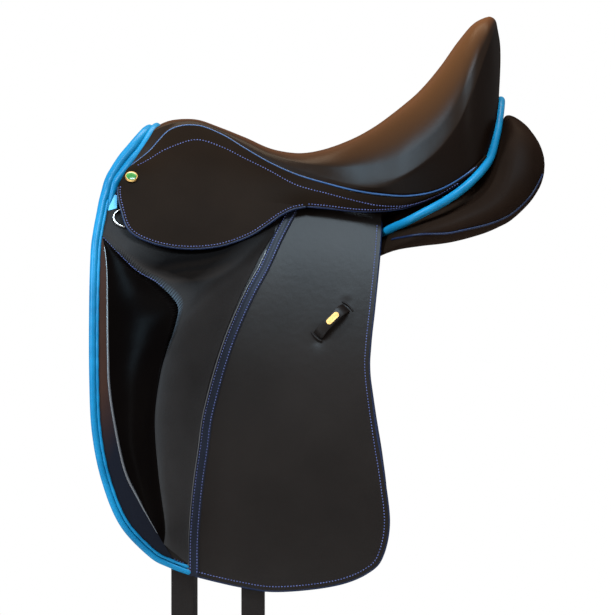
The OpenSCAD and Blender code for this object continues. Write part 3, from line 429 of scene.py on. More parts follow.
# painted highlight: a light grey, much lighter than the black face beside it, stands partly for the bright
# line along the block's edge, besides its real gloss; painted shade: its upper end, and that of the seam
# strip's edge, darkened towards black
edgeRollPaintedLightMat = leatherMat("edgeRollLeatherPaintedLight", {
    "dark": (0.03, 0.028, 0.03), "pale": (0.05, 0.047, 0.05),
    "paintedLight": [((0.004, 0.003, 0.003), [("X", 0.4, 0.1, 0.9)])],
    "rough": 0.3, "grain": 1400, "bump": 0.04, "coat": 0.7})
# painted reflection: the band's warm brown stands partly for a warm reflection beside the binding; painted
# shade: its lower part dark bluish grey where that reflection is not
brownPaintedLightMat = leatherMat("brownLeatherPaintedLight", {
    "dark": (0.024, 0.0095, 0.006), "pale": (0.04, 0.017, 0.011),
    "paintedLight": [((0.006, 0.0062, 0.0095), [("X", 0.45, 0.66, 1)])],
    "rough": 0.42, "grain": 1200, "bump": 0.06, "coat": 0.03})
liningMat = leatherMat("liningLeather", {
    "dark": (0.0066, 0.0034, 0.0022), "pale": (0.0138, 0.007, 0.0043),
    "rough": 0.48, "grain": 900, "bump": 0.12, "coat": 0.013})
strapMat = leatherMat("strapLeather", {
    "dark": (0.0065, 0.0042, 0.0034), "pale": (0.012, 0.0082, 0.0068),
    "rough": 0.38, "grain": 1000, "bump": 0.15, "coat": 0.08})
stripMat = leatherMat("stripLeather", {
    "dark": (0.008, 0.0088, 0.0135), "pale": (0.0145, 0.0158, 0.025),
    "rough": 0.36, "grain": 1100, "bump": 0.08, "coat": 0.055})
azureMat = leatherMat("azureLeather", {
    "dark": (0.003, 0.108, 0.215), "pale": (0.0075, 0.178, 0.325),
    "rough": 0.32, "grain": 1200, "bump": 0.05, "cloud": 30, "coat": 0.1})
paleBlueMat = leatherMat("paleBlueLeather", {
    "dark": (0.08, 0.32, 0.50), "pale": (0.13, 0.42, 0.62),
    "rough": 0.4, "grain": 1200, "bump": 0.06, "cloud": 30, "coat": 0.1})
pipingMat = leatherMat("blueWelt", {
    "dark": (0.012, 0.04, 0.1), "pale": (0.028, 0.07, 0.165),
    "rough": 0.32, "grain": 1500, "bump": 0.03, "cloud": 40, "coat": 0.2})
navyMat = leatherMat("navyEdge", {
    "dark": (0.006, 0.010, 0.028), "pale": (0.011, 0.017, 0.046),
    "rough": 0.34, "grain": 1500, "bump": 0.03, "cloud": 40, "coat": 0.1})
threadMat = leatherMat("blueThread", {
    "dark": (0.066, 0.072, 0.17), "pale": (0.122, 0.13, 0.275),
    "rough": 0.5, "grain": 2500, "bump": 0.1, "cloud": 90, "coat": 0.05})
webMat = wovenMat("webbing", (0.30, 0.22, 0.12), (0.55, 0.45, 0.28), 1.6)
steelMat = metalMat("brushedSteel", (0.55, 0.56, 0.58), 0.32)
barMat = metalMat("barSteel", (0.62, 0.63, 0.65), 0.24)
ringMat = metalMat("brightRing", (0.4, 0.385, 0.37), 0.2)
goldMat = metalMat("keeperGold", (0.62, 0.36, 0.12), 0.3, 500)
woodMat, tree, shader, coords = newMaterial("treeWood")
rings = tree.nodes.new("ShaderNodeTexWave")
rings.inputs["Scale"].default_value = 45
rings.inputs["Distortion"].default_value = 4
tree.links.new(coords.outputs["Object"], rings.inputs["Vector"])
tree.links.new(addRamp(tree, rings.outputs["Fac"], [(0, (0.38, 0.24, 0.12)), (1, (0.58, 0.42, 0.24))]),
               shader.inputs["Base Color"])
tree.links.new(addBump(tree, rings.outputs["Fac"], 0.2, 0.0005), shader.inputs["Normal"])
shader.inputs["Roughness"].default_value = 0.6
enamelMat, tree, shader, coords = newMaterial("greenEnamel")
glint = addNoise(tree, coords.outputs["Object"], 400, 3)
tree.links.new(addRamp(tree, glint, [(0.35, (0.006, 0.085, 0.01)), (0.7, (0.022, 0.2, 0.024))]),
               shader.inputs["Base Color"])
tree.links.new(addRange(tree, glint, 0.1, 0.3), shader.inputs["Roughness"])
shader.inputs["Coat Weight"].default_value = 0.15
print("materials made")


# camera and light

view = {"distance": 10, "tilt": math.radians(3), "middle": (-0.01624, 0, -0.05888), "lens": 522.6,
        "sensor": 36, "reach": 100}
cam = bpy.data.objects.new("camera", bpy.data.cameras.new("camera"))
bpy.context.scene.collection.objects.link(cam)
cam.data.lens, cam.data.sensor_width = view["lens"], view["sensor"]
cam.data.clip_end = view["reach"]
aim = Vector((0, math.cos(view["tilt"]), -math.sin(view["tilt"])))
cam.location = Vector(view["middle"]) - view["distance"] * aim
cam.rotation_euler = (math.pi / 2 - view["tilt"], 0, 0)
bpy.context.scene.camera = cam
bpy.context.scene.view_settings.view_transform = "Standard"

lamps = {
    "topBox": {"at": (0.25, -1.05, 1.75), "size": (1.0, 0.5), "power": 60, "colour": (0.66, 0.85, 1)},
    "seatBox": {"at": (-1.5, -0.95, 1.15), "size": (0.4, 0.8), "power": 58, "colour": (0.5, 0.78, 1)},
    "leftStrip": {"at": (-1.9, -1.2, 0.1), "size": (0.25, 1.8), "power": 14, "colour": (0.92, 0.97, 1)},
    "backBox": {"at": (0.0, 1.1, 2.1), "size": (1.8, 1.2), "power": 88, "colour": (1, 0.80, 0.58)},
    "rightFill": {"at": (2.0, -0.9, 0.7), "size": (0.6, 1.0), "power": 5, "colour": (1, 0.95, 0.88)},
}
for name, lamp in lamps.items():
    data = bpy.data.lights.new(name, "AREA")
    data.shape = "RECTANGLE"
    data.size, data.size_y = lamp["size"]
    data.energy, data.color = lamp["power"], lamp["colour"]
    obj = bpy.data.objects.new(name, data)
    obj.location = lamp["at"]
    obj.rotation_euler = (Vector() - obj.location).to_track_quat("-Z", "Y").to_euler()
    bpy.context.scene.collection.objects.link(obj)

world = bpy.data.worlds.new("studio")
bpy.context.scene.world = world
world.use_nodes = True
tree = world.node_tree
ambient, white = tree.nodes["Background"], tree.nodes.new("ShaderNodeBackground")
ambient.inputs["Color"].default_value, ambient.inputs["Strength"].default_value = (1, 1, 1, 1), 0.3
white.inputs["Color"].default_value, white.inputs["Strength"].default_value = (1, 1, 1, 1), 1
rays = tree.nodes.new("ShaderNodeLightPath")
seen = rays.outputs["Is Camera Ray"]
for ray in ("Is Glossy Ray", "Is Transmission Ray"):
    seen = addMath(tree, "MAXIMUM", seen, rays.outputs[ray])
both = tree.nodes.new("ShaderNodeMixShader")
tree.links.new(seen, both.inputs["Fac"])
tree.links.new(ambient.outputs[0], both.inputs[1])
tree.links.new(white.outputs[0], both.inputs[2])
tree.links.new(both.outputs[0], tree.nodes["World Output"].inputs["Surface"])

floorMat, tree, shader, coords = newMaterial("paleFloor")
mottle = addNoise(tree, coords.outputs["Object"], 3)
tree.links.new(addRamp(tree, mottle, [(0, (0.86, 0.86, 0.86)), (1, (0.9, 0.9, 0.9))]),
               shader.inputs["Base Color"])
shader.inputs["Roughness"].default_value = 0.9
bm = bmesh.new()
bmesh.ops.create_circle(bm, cap_ends=True, segments=64, radius=1.4,
                        matrix=Matrix.Translation((0, 0, cadLow.z - 0.002)))
floor = finishPiece("floor", bm, floorMat)
print("camera and light set")


# seat: lines from the pommel to the middle of the cantle
seat = {
    "crest": [(-181, 0, 145), (-170, 0, 150), (-153, 0, 152), (-136, 0, 150.5), (-111.7, 0, 141.5),
        (-85.7, 0, 130.9), (-58.1, 0, 118.7), (-27.5, 0, 113.4), (0, 0, 117), (27.9, 0, 127),
        (55.8, 0, 141.5), (83.7, 0, 161.5), (106, 0, 182), (128.3, 0, 208.9), (148.8, 0, 237),
        (165.5, 0, 256.5), (178, 0, 264.5), (186, 0, 267)],
    "rim": [(-190, 40, 136), (-176, 34, 142), (-158, 29, 148.5), (-136, 29, 148), (-111.7, 34, 139.8),
        (-85.7, 44, 126.4), (-58.1, 57, 112), (-27.5, 71, 101), (2, 83.1, 92), (34, 97.8, 84),
        (64, 113.9, 83), (94, 127.3, 95), (125.5, 134, 118.5), (150, 131.3, 151), (166, 117.9, 185.4),
        (179, 93.8, 221), (190, 61.6, 250), (195, 0, 261)],
    "base": [(-214, 75, 101), (-192, 56, 118), (-168, 38, 142), (-140, 32, 146.5), (-111.7, 38, 136.5),
        (-85.7, 49, 121.3), (-58.1, 62, 106), (-27.5, 75, 93), (4, 85, 84), (36, 97, 76.5),
        (66, 108, 72.5), (96, 119, 71.5), (128, 126, 78), (158, 126, 95), (181, 108, 116), (191, 81, 142),
        (196, 45, 166), (198, 0, 180)],
    "dish": [0, 0, 0, 0, 0, 0, 0, 0, 1, 3, 5, 7, 8, 8, 6, 4, 1.5, 0],
    "leather": 3, "edge": 0.5, "rimRound": 0.42, "backBulge": 5,
    "weltR": 1.5, "thinWelt": 1.05, "weltOut": 0.9, "weltDrop": 0.4, "weltStations": 14,
}
for key in ("crest", "rim", "base"):
    seat[key] = pastCentre(seat[key])
stations = len(seat["dish"]) - 1


def seatLines(t):
    f = t * stations / (stations + 1)
    return [through(seat[key], f) for key in ("crest", "rim", "base")]


def awayFrom(crest, base):  # level direction out of the seat
    return Vector((base.x - crest.x, base.y, 0)).normalized()


def seatPoint(t, q):  # q from the crest to the lower edge
    crest, rim, base = seatLines(t)
    dish = through(seat["dish"], t)
    middle = crest - Vector((0, 0, dish))
    flat = Vector((crest.x, 0.3 * rim.y, middle.z))
    slope = Vector((mix(crest.x, rim.x, 0.35), 0.62 * rim.y, mix(crest.z, rim.z, 0.05) + 1.1 * dish))
    brow = Vector((mix(crest.x, rim.x, 0.75), 0.88 * rim.y, mix(crest.z, rim.z, 0.42)))
    bulge = max(0, t - 0.7) / 0.3 * seat["backBulge"]
    back = mix(rim, base, seat["rimRound"]) + bulge * awayFrom(crest, base)
    tight = fade(0.54, 0.66, t)  # a sharp ridge round the cantle only
    upper = mix(brow, rim, mix(0.62, 0.9, tight))
    lower = mix(rim, back, mix(0.38, 0.1, tight))
    return openSpline([middle, flat, slope, brow, upper, lower, back, base], q)


def seatPlace(u, w):
    q = 2 * w - 1
    p = seatPoint(u, abs(q))
    p = Vector((p.x, -p.y if q < 0 else p.y, p.z))
    lump = noise.noise(p * 0.02) * 0.5 + noise.noise(p * 0.07) * 0.15
    return p + Vector((0, 0, lump * fade(0, 0.1, 1 - abs(q))))


bm = gridMesh(seatPlace, 150, 144, weld=True)
piece = sheetPiece("seat", bm, upZ, seatMat, "saddle", seat["leather"], seat["edge"])
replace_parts(piece, "seat_cover", "seat_foam")


def weltLine(t):  # piping beside the lower edge of the seat
    crest, _, base = seatLines(t * seat["weltStations"] / stations)
    out = (seat["weltR"] + seat["weltOut"]) * awayFrom(crest, base)
    return base + out - Vector((0, 0, seat["weltDrop"]))


for side, sign in sides.items():
    bm = tubeMesh(lambda u: weltLine(mix(0.01, 1, u)), seat["thinWelt"], 160, upZ, sign, 10)
    piece = finishPiece("seatWelt_" + side, bm, pipingMat, "saddle")
    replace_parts(piece, "seat_welt_" + side)
print("seat made")


# skirts: sewn top band down to the flex line, hanging piece below it
skirt = {
    "low": [(x, barrel["halfWidth"], flexZ(x)) for x in (-226, -200, -172, -142, -113, -86, -58, -28)]
    + [(4, 97.3, 57), (36, 99, 53.4), (66, 104, 53.4), (96, 115.5, 58.3), (128, 125.5, 71.3),
       (158, 128.5, 89.8), (181.5, 110, 113.5)],
    "edge": [(-226, flexZ(-226)), (-226, 71), (-222, 55), (-216, 38), (-206, 28), (-189, 20.5),
        (-169, 15.5), (-148, 13.5), (-125, 14.5), (-104, 18.5), (-79, 28), (-62, 38.5), (-46, 49.5),
        (-32, 56), (-17, flexZ(-17))],
    "thick": 4, "rear": -17, "front": -226, "weltGap": 0.2, "crown": 2.5, "bendAbove": 5, "bendBelow": 9,
    "edgeR": 1.4, "edgeOut": 0.1, "stitchIn": 2.4, "stitchUp": 0.15,
    "upperRow": [0.25, 0.27, 0.31, 0.22, 0.21, 0.21, 0.22, 0.36, 0.4, 0.44, 0.6, 0.74, 0.8, 0.8, 0.8],
}
skirt["low"], skirt["edge"] = vectors(skirt["low"]), vectors(skirt["edge"])
before, after = skirt["low"][7].x, skirt["low"][8].x  # the hanging piece ends between these
tailStart = (7 + (skirt["rear"] - before) / (after - before)) / (len(skirt["low"]) - 1)


def bandNormal(t):
    w = through(skirt["low"], min(t + 0.01, 1)) - through(skirt["low"], max(t - 0.01, 0))
    return w.cross(through(skirt["low"], t) - weltLine(t)).normalized()


def bandPoint(t, v):  # v from the piping down to the low line
    w, low, n = weltLine(t), through(skirt["low"], t), bandNormal(t)
    top = w + (seat["weltR"] + skirt["weltGap"]) * (low - w).normalized() + skirt["thick"] / 2 * n
    return mix(top, low, v) + skirt["crown"] * math.sin(math.pi * v) * (1 - t * t) * n


def skirtPoint(u, w):  # hanging piece, w from the flex line to its edge
    e = through(skirt["edge"], u)
    x = mix(skirt["front"], skirt["rear"], u)
    return onBarrel(mix(x, e.x, w), mix(flexZ(x), e.y, w), barrel["skirtR"])


def tailEdge(t, inwards):  # lower edge of the tail, moved up the leather
    return bandPoint(t, 1 - inwards / (through(skirt["low"], t) - weltLine(t)).length)


def skirtBead(u):
    p, n = skirtPoint(u, 1)
    return p - (skirt["edgeR"] - skirt["edgeOut"]) * n


def tailBead(u):
    t = mix(tailStart, 1, u)
    return tailEdge(t, 0) - (skirt["edgeR"] - skirt["edgeOut"]) * bandNormal(t)


def onBand(t, p):  # stitch just proud of the band
    n = bandNormal(t)
    return p + skirt["stitchUp"] * n, n


edge = [skirtPoint(t, 1) for t in spread(0, 1, 900)]
hangingRow = []
for i in range(8, 893):
    p, n = edge[i]
    inwards = (edge[i + 1][0] - edge[i - 1][0]).cross(n).normalized()
    hangingRow.append((p + skirt["stitchIn"] * inwards + skirt["stitchUp"] * n, n))
upperRow = [onBand(t, bandPoint(t, through(skirt["upperRow"], t))) for t in spread(0.046, 0.88, 1200)]
lowerRow = [onBand(t, tailEdge(t, skirt["stitchIn"])) for t in spread(tailStart + 0.006, 0.915, 900)]
for side, sign in sides.items():
    outward, beadUp = Vector((0, sign, 0.4)), Vector((0, 1, 0.5))
    upperBlend = overLine(side, "saddle", "flap_" + side, skirt["bendAbove"], 0)
    lowerBlend = overLine(side, "flap_" + side, "skirt_" + side, 0, skirt["bendBelow"])
    bm = gridMesh(bandPoint, 150, 30, sign)
    piece = sheetPiece("skirtTop_" + side, bm, outward, skirtMat, None, skirt["thick"])
    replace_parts(piece, "skirt_top_" + side)
    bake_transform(piece)
    bm = gridMesh(lambda u, w: skirtPoint(u, w)[0], 120, 26, sign)
    bmesh.ops.dissolve_degenerate(bm, dist=0.00001, edges=bm.edges)
    name = "skirt_" + side + "_leather"
    piece = sheetPiece(name, bm, outward, skirtMat, None, skirt["thick"])
    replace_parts(piece, "skirt_" + side)
    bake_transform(piece)
    bm = tubeMesh(skirtBead, skirt["edgeR"], 160, beadUp, sign, 10)
    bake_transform(finishPiece("skirtEdge_" + side, bm, navyMat))
    bm = tubeMesh(tailBead, skirt["edgeR"], 120, beadUp, sign, 10)
    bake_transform(finishPiece("skirtTailEdge_" + side, bm, navyMat))
    stitchRow("skirtStitches_" + side, [hangingRow], "skirt_" + side, sign)
    stitchRow("skirtTopStitches_" + side, [upperRow, lowerRow], "saddle", sign)


# button at the front of the skirt
stud = {"rimR": 7.4, "rimSlope": 0.7, "rimDeep": 1.6, "domeR": 6.2, "domeHigh": 1.3, "domeAt": 1.3,
        "at": 0.0353, "down": 0.66, "proud": 0.4}
for side, sign in sides.items():
    n = bandNormal(stud["at"])
    p = bandPoint(stud["at"], stud["down"]) + stud["proud"] * n
    n, p = Vector((n.x, sign * n.y, n.z)), Vector((p.x, sign * p.y, p.z)) * mm
    lie = Matrix.Translation(p) @ n.to_track_quat("Z", "Y").to_matrix().to_4x4()
    bm = bmesh.new()
    bmesh.ops.create_cone(bm, cap_ends=True, segments=40, radius1=stud["rimR"] * mm,
                          radius2=(stud["rimR"] - stud["rimSlope"]) * mm, depth=stud["rimDeep"] * mm,
                          matrix=lie @ Matrix.Translation((0, 0, stud["rimDeep"] / 2 * mm)))
    rim = finishPiece("studRim_" + side, bm, goldMat, "saddle", smooth=False)
    bm = bmesh.new()
    size = Matrix.Diagonal((stud["domeR"] * mm, stud["domeR"] * mm, stud["domeHigh"] * mm, 1))
    bmesh.ops.create_uvsphere(bm, u_segments=32, v_segments=16, radius=1,
                              matrix=lie @ Matrix.Translation((0, 0, stud["domeAt"] * mm)) @ size)
    finishPiece("studDome_" + side, bm, enamelMat, "saddle")
    if side == "left":
        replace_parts(rim, "skirt_studs")
print("skirts made")


# flaps
flap = {
    "front": [(-239.6, 76), (-243.4, 62.6), (-246, 49), (-249.4, 30), (-251.8, 8), (-253, -49),
        (-252.5, -129), (-249.5, -186), (-239, -238), (-219.5, -285.6), (-188.4, -319.2),
        (-167.5, -330.8), (-143, -340)],
    "rear": [(-142, -341.5), (-131, -344.5), (-115, -348.5), (-90, -354), (-57, -359), (-16, -357),
        (22, -350.5), (49, -339), (64.5, -323), (72.5, -287), (68, -240), (59.5, -186), (51.5, -124),
        (52.5, -90), (57, -50), (63, 8), (66, flexZ(66) - 0.3)],
    "notch": [(-237, 3), (-231, 3), (-231, 48), (-158, 48), (-158, 36), (-72, 36), (-72, 0.3), (66, 0.3)],
    "frontShare": 0.8, "rearShare": 0.36, "meet": 0.18,  # how the front and rear lines share the lower edge
    "thick": 4.5, "edge": 1, "edgeR": 2.1, "stitchIn": 4.2, "stitchUp": 0.2,
    "bindingR": 4.5, "thinEnd": 0.7, "dent": 0.13, "dentAt": 0.75 * math.pi, "dentWide": 0.22,
    "seamOut": 0.7, "seamUp": 1.2, "seamR": 1.7, "seamRipple": 0.15, "rowOut": 3.2, "rowUp": 0.3,
    "tail": [(-232.6, 74.5), (-235.8, 63), (-239.5, 53)],
    "neck": [(-239.9, 74.5), (-243.4, 62.6), (-246, 49)],
    "corner": [(-233.7, 71), (-227.5, 70), (-227.5, 56), (-237, 53.5)], "cornerUp": 1.4, "cornerThick": 1.2,
    "keeperAt": (11, -66.5), "keeperTurn": math.radians(-52), "keeperLong": 49,
}
frontLine, rearLine = byLength(vectors(flap["front"])), byLength(vectors(flap["rear"]))
frontIn = moved(frontLine, flap["bindingR"] / 2)
notch = vectors([(x, flexZ(x) - d) for x, d in flap["notch"]])


def straight(points, t):  # broken line with t as the share of the length
    lengths = [(b - a).length for a, b in zip(points, points[1:])]
    want = t * sum(lengths)
    for a, b, length in zip(points, points[1:], lengths):
        if want <= length:
            return a.lerp(b, want / length)
        want -= length
    return points[-1]


def patch(top, low, front, rear, u, w):  # surface between four side-view edges
    ends = mix(mix(top(0), top(1), u), mix(low(0), low(1), u), w)
    return mix(top(u), low(u), w) + mix(front(w), rear(w), u) - ends


def lowEdge(front, rear):
    def edge(u):
        if u < flap["meet"]:
            return front(mix(flap["frontShare"], 1, u / flap["meet"]))
        return rear(mix(0, flap["rearShare"], (u - flap["meet"]) / (1 - flap["meet"])))
    return edge


flapEdges = (lambda u: straight(notch, u), lowEdge(frontIn, rearLine),
             lambda w: frontIn(w * flap["frontShare"]), lambda w: rearLine(mix(1, flap["rearShare"], w)))


def keeperLocal(x, z):  # place along and across the keeper
    dx, dz = x - flap["keeperAt"][0], z - flap["keeperAt"][1]
    c, s = math.cos(flap["keeperTurn"]), math.sin(flap["keeperTurn"])
    return dx * c - dz * s, dx * s + dz * c


def pucker(x, z):  # leather drawn in at the keeper's slits
    a, b = keeperLocal(x, z)
    h = 0
    for end in (-1, 1):
        d = math.hypot((a - end * (flap["keeperLong"] / 2 + 1)) * 0.8, b * 0.9)
        h += 0.45 * math.exp(-(d / 9) ** 2) * end - 0.8 * math.exp(-(d / 5) ** 2)
    return h


def flapPlace(u, w):
    q = patch(*flapEdges, u, w)
    wave = 0.5 * noise.noise(Vector((q.x * 0.014, q.y * 0.014, 3))) * fade(0, 0.15, w)
    return onBarrel(q.x, q.y, barrel["flapR"], pucker(q.x, q.y) + wave)[0]


def cornerPlace(u, w):
    a, b, c, d = vectors(flap["corner"])
    return onBarrel(*mix(mix(a, d, u), mix(b, c, u), w), barrel["flapR"], flap["cornerUp"])[0]


def bindingShape(u, a):  # drawn in along its seam
    return 1 - flap["dent"] * math.exp(-((a - flap["dentAt"]) / flap["dentWide"]) ** 2)


def rowOnFlap(curve, h, start=0, end=1, steps=2400):
    points = [curve(t) for t in spread(start, end, steps)]
    return [onBarrel(p.x, p.y, barrel["flapR"], h) for p in points]


bindingRow = rowOnFlap(moved(frontLine, flap["bindingR"] + flap["rowOut"]), flap["rowUp"], 0.6, 0.985)
rearRow = rowOnFlap(moved(rearLine, flap["stitchIn"]), flap["stitchUp"], 0.01, 0.985)
for side, sign in sides.items():
    body, outward = "flap_" + side, sign * outY
    bm = gridMesh(flapPlace, 150, 150, sign)
    bmesh.ops.dissolve_degenerate(bm, dist=0.00001, edges=bm.edges)
    name = "flap_" + side + "_leather"
    piece = sheetPiece(name, bm, outward, smoothMat, body, flap["thick"], flap["edge"])
    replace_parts(piece, "flap_" + side)
    bm = tubeMesh(onFlap(frontLine), lambda u: flap["bindingR"] * mix(1, flap["thinEnd"], u), 220, outY,
                  sign, 24, shape=bindingShape)
    piece = finishPiece("flapBinding_" + side + "_roll", bm, azureMat, body)
    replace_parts(piece, "flap_binding_" + side)
    seam = onFlap(moved(frontLine, flap["bindingR"] + flap["seamOut"]), 0.02, 0.99, flap["seamUp"])
    bm = tubeMesh(seam, lambda u: flap["seamR"] + flap["seamRipple"] * math.sin(u * 160), 260, outY, sign, 12)
    finishPiece("bindingSeam_" + side, bm, azureMat, body)
    stitchRow("bindingStitches_" + side, [bindingRow], body, sign)
    bm = gridMesh(cornerPlace, 8, 8, sign)
    sheetPiece("flapCorner_" + side, bm, outward, paleBlueMat, body, flap["cornerThick"])
    bm = tubeMesh(onFlap(rearLine, 0, 0.99, -flap["thick"] / 2), flap["edgeR"], 260, outY, sign, 10)
    finishPiece("flapEdge_" + side, bm, navyMat, body)
    stitchRow("flapStitches_" + side, [rearRow], body, sign)
print("flaps made")


# seam strip between the thigh panel and the smooth flap
strip = {
    "line": [(-38, 57), (-45, 44), (-55, 25), (-69, -5), (-83.5, -31), (-96, -57), (-108, -86),
        (-118.5, -118), (-126.5, -147), (-132.5, -173), (-136.5, -204), (-141, -235), (-144.7, -269),
        (-147, -304), (-147.3, -343)],
    "width": 12, "thick": 1.9, "leather": 0.8, "edge": 0.2, "groove": 0.5,
    "beadR": 0.8, "beadUp": 1.1, "rows": (2.3, 9.7), "stitchUp": 0.45,
}
stripLine = byLength(vectors(strip["line"]))


def stripPlace(u, w):
    q = moved(stripLine, strip["width"] * w)(u)
    h = strip["thick"] * (1 - abs(2 * w - 1) ** 6) + 0.3
    h += strip["groove"] * (1 - math.exp(-((w - 0.5) / 0.2) ** 2)) - 0.4
    return onBarrel(q.x, q.y, barrel["flapR"], h)[0]


rows = [rowOnFlap(moved(stripLine, d), strip["thick"] + strip["stitchUp"]) for d in strip["rows"]]
for side, sign in sides.items():
    body = "flap_" + side
    bm = gridMesh(stripPlace, 160, 18, sign)
    piece = sheetPiece("seamStrip_" + side, bm, sign * outY, stripMat, body,
                       strip["leather"], strip["edge"])
    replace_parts(piece, "flap_strip_" + side)
    bm = tubeMesh(onFlap(stripLine, 0.12, 0.995, strip["beadUp"]), strip["beadR"], 200, outY, sign, 10)
    finishPiece("stripEdge_" + side, bm, edgeRollPaintedLightMat, body)
    stitchRow("stripStitches_" + side, rows, body, sign)
print("seam strips made")


# thigh block: near-black front face, its dark leather deepened as painted shade, and grained panel on both
# sides of a gathered ridge
block = {
    "front": [(-243.2, 25.5), (-239.6, 6), (-237.7, -13), (-237, -43), (-236.5, -75.5), (-235.8, -106),
        (-234.5, -135), (-229, -173), (-217, -227), (-201.5, -259.5), (-189, -282.5), (-177, -303)],
    "ridge": [(-243, 24), (-220.8, 0), (-203.2, -19), (-182, -35.6), (-161, -59), (-163, -81.5),
        (-171.5, -106), (-179, -133.5), (-184.3, -178.5), (-180, -232.5), (-172.5, -286.5), (-174, -308)],
    "rear": [(-239.5, 57), (-206, 50), (-160, 38), (-104, 38), (-53, 38), (-70, 2), (-92, -42),
        (-112, -92), (-128, -146), (-140, -222), (-146, -284), (-147, -330)],
    "rise": [3, 8, 18, 30, 36, 38, 38, 38, 38, 34, 22, 5],
    "leather": 2, "skin": 1.2, "edge": 0.2, "gatherPitch": 2.9, "gather": 1.1, "gatherReach": 6,
    "rollR": 1.5, "rollUp": 2.4, "bandThick": 1, "foldUp": 3.6, "stitchWide": 0.9,
    "crease": [(-240, 12), (-214, -5), (-194, -18), (-176, -21), (-156, -17), (-130, -13.5), (-108, -6),
        (-94, 3), (-78, 18), (-60, 40)],
    "seam": [(-160, -1.5), (-151, 1), (-136.5, 5.8)],
}
for key in ("front", "ridge", "rear", "crease", "seam"):
    block[key] = vectors(block[key])
creaseLine = [through(block["crease"], t) for t in spread(0, 1, 60)]
ridgeLength = measured(block["ridge"])[1]
blockEdge, bindingInside = byLength(block["front"]), moved(frontLine, flap["bindingR"])


def blockPoint(t, s):  # s from the front edge (-1) over the ridge (0) to the rear edge (1)
    ridge, last = through(block["ridge"], t), len(ridgeLength) - 1
    q = mix(ridge, through(block["front" if s < 0 else "rear"], t), abs(s))
    h = through(block["rise"], t)
    fall = (1 + s) ** 1.8 if s < 0 else math.cos(math.pi / 2 * min(s, 1)) ** 1.3
    up = h * fall + block["leather"] + 0.3
    off = (q - ridge).length
    along = ridgeLength[min(int(t * last), last)] + (t * last % 1) * 1.1  # a step is about 1.1 mm
    strength = block["gather"] * fade(0.02, 0.1, t) * (1 - fade(0.5, 0.64, t))
    gathers = math.sin(2 * math.pi * along / block["gatherPitch"])
    up += strength * gathers * math.exp(-(off / block["gatherReach"]) ** 2)
    up -= min(0.3 * h, 3.6) * math.exp(-off / 2.8) + 0.7 * math.exp(-(off / 1.2) ** 2)
    if s > 0:  # flat and thin where it runs in under the skirt, with a fold below
        d, c = min(((q - c).length, c) for c in creaseLine)
        above = 0.5 + 0.5 * math.copysign(fade(0, 22, d), q.y - c.y)
        low = mix(5, 0.6, fade(14, 34, q.y) * (1 - fade(-206, -190, q.x)))
        up = mix(up, min(up, low), above * fade(0.02, 0.2, s))
    up += 0.5 * noise.noise(Vector((q.x * 0.03, q.y * 0.03, s)))
    return onBarrel(q.x, q.y, barrel["flapR"], max(up, 0.4))[0]


def blockRollR(u):  # thin at both ends
    return block["rollR"] * mix(0.4, 1, fade(0, 0.4, u)) * (1 - 0.7 * fade(0.8, 1, u))


def blockBandPlace(u, w):  # leather between the binding and the block
    q = mix(bindingInside(mix(0.1, 0.955, u)), blockEdge(u), w)
    return onBarrel(*q, barrel["flapR"], 0.4 + 1.8 * math.sin(math.pi / 2 * w))[0]


ridgeRow = [(blockPoint(t, 0.006), onBarrel(*through(block["ridge"], t), barrel["flapR"])[1])
            for t in spread(0.01, 0.3, 900)]
foldRow = rowOnFlap(lambda t: through(block["seam"], t), block["foldUp"], steps=200)
for side, sign in sides.items():
    body = "flap_" + side
    bm = gridMesh(lambda u, w: blockPoint(u, -(w ** 1.8)), 420, 30, sign)
    piece = sheetPiece("blockFace_" + side, bm, Vector((-0.5, sign, 0)), blackAndShadeMat, body,
                       block["skin"], block["edge"])
    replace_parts(piece, "block_face_" + side)
    bm = gridMesh(lambda u, w: blockPoint(u, w ** 1.8), 420, 34, sign)
    piece = sheetPiece("thighPanel_" + side, bm, Vector((0.3, sign, 0)), grainMat, body,
                       block["skin"], block["edge"])
    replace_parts(piece, "thigh_panel_" + side, "block_foam_" + side)
    bm = tubeMesh(onFlap(blockEdge, 0.03, 0.98, block["rollUp"]), blockRollR, 200, outY, sign, 16)
    finishPiece("blockEdge_" + side, bm, edgeRollPaintedLightMat, body)
    bm = gridMesh(blockBandPlace, 160, 8, sign)
    sheetPiece("blockBand_" + side, bm, sign * outY, brownPaintedLightMat, body, block["bandThick"])
    thinStitch = {**stitch, "width": block["stitchWide"]}
    stitchRow("ridgeStitches_" + side, [ridgeRow, foldRow], body, sign, thinStitch)
print("thigh blocks made")


# stirrup leather keeper
keeper = {"wide": 12.3, "thick": 3, "clear": 7, "sunk": 2.5, "edge": 0.6, "lipR": 1.1, "lipWide": 17}


def onKeeper(along, across, up):
    c, s = math.cos(flap["keeperTurn"]), math.sin(flap["keeperTurn"])
    o, n = onBarrel(*flap["keeperAt"], barrel["flapR"])
    rise = flexAlong.cross(n)
    return o + (along * c + across * s) * flexAlong + (across * c - along * s) * rise + up * n


def keeperPlace(u, w):
    a = 2 * u - 1
    up = (keeper["clear"] + keeper["thick"] + keeper["sunk"]) * (1 - abs(a) ** 4) - keeper["sunk"]
    across = (w - 0.5) * keeper["wide"] * (1 - 0.1 * math.cos(math.pi / 2 * a) ** 2)
    crown = 0.5 * (1 - (2 * w - 1) ** 2)
    return onKeeper(a * (flap["keeperLong"] / 2 - 0.2), across, up + crown)


def keeperLip(end, u):  # lip of the slit at one end
    along = flap["keeperLong"] / 2 + 1.6 - 1.4 * (2 * u - 1) ** 2
    return onKeeper(end * along, (u - 0.5) * keeper["lipWide"], 0.2)


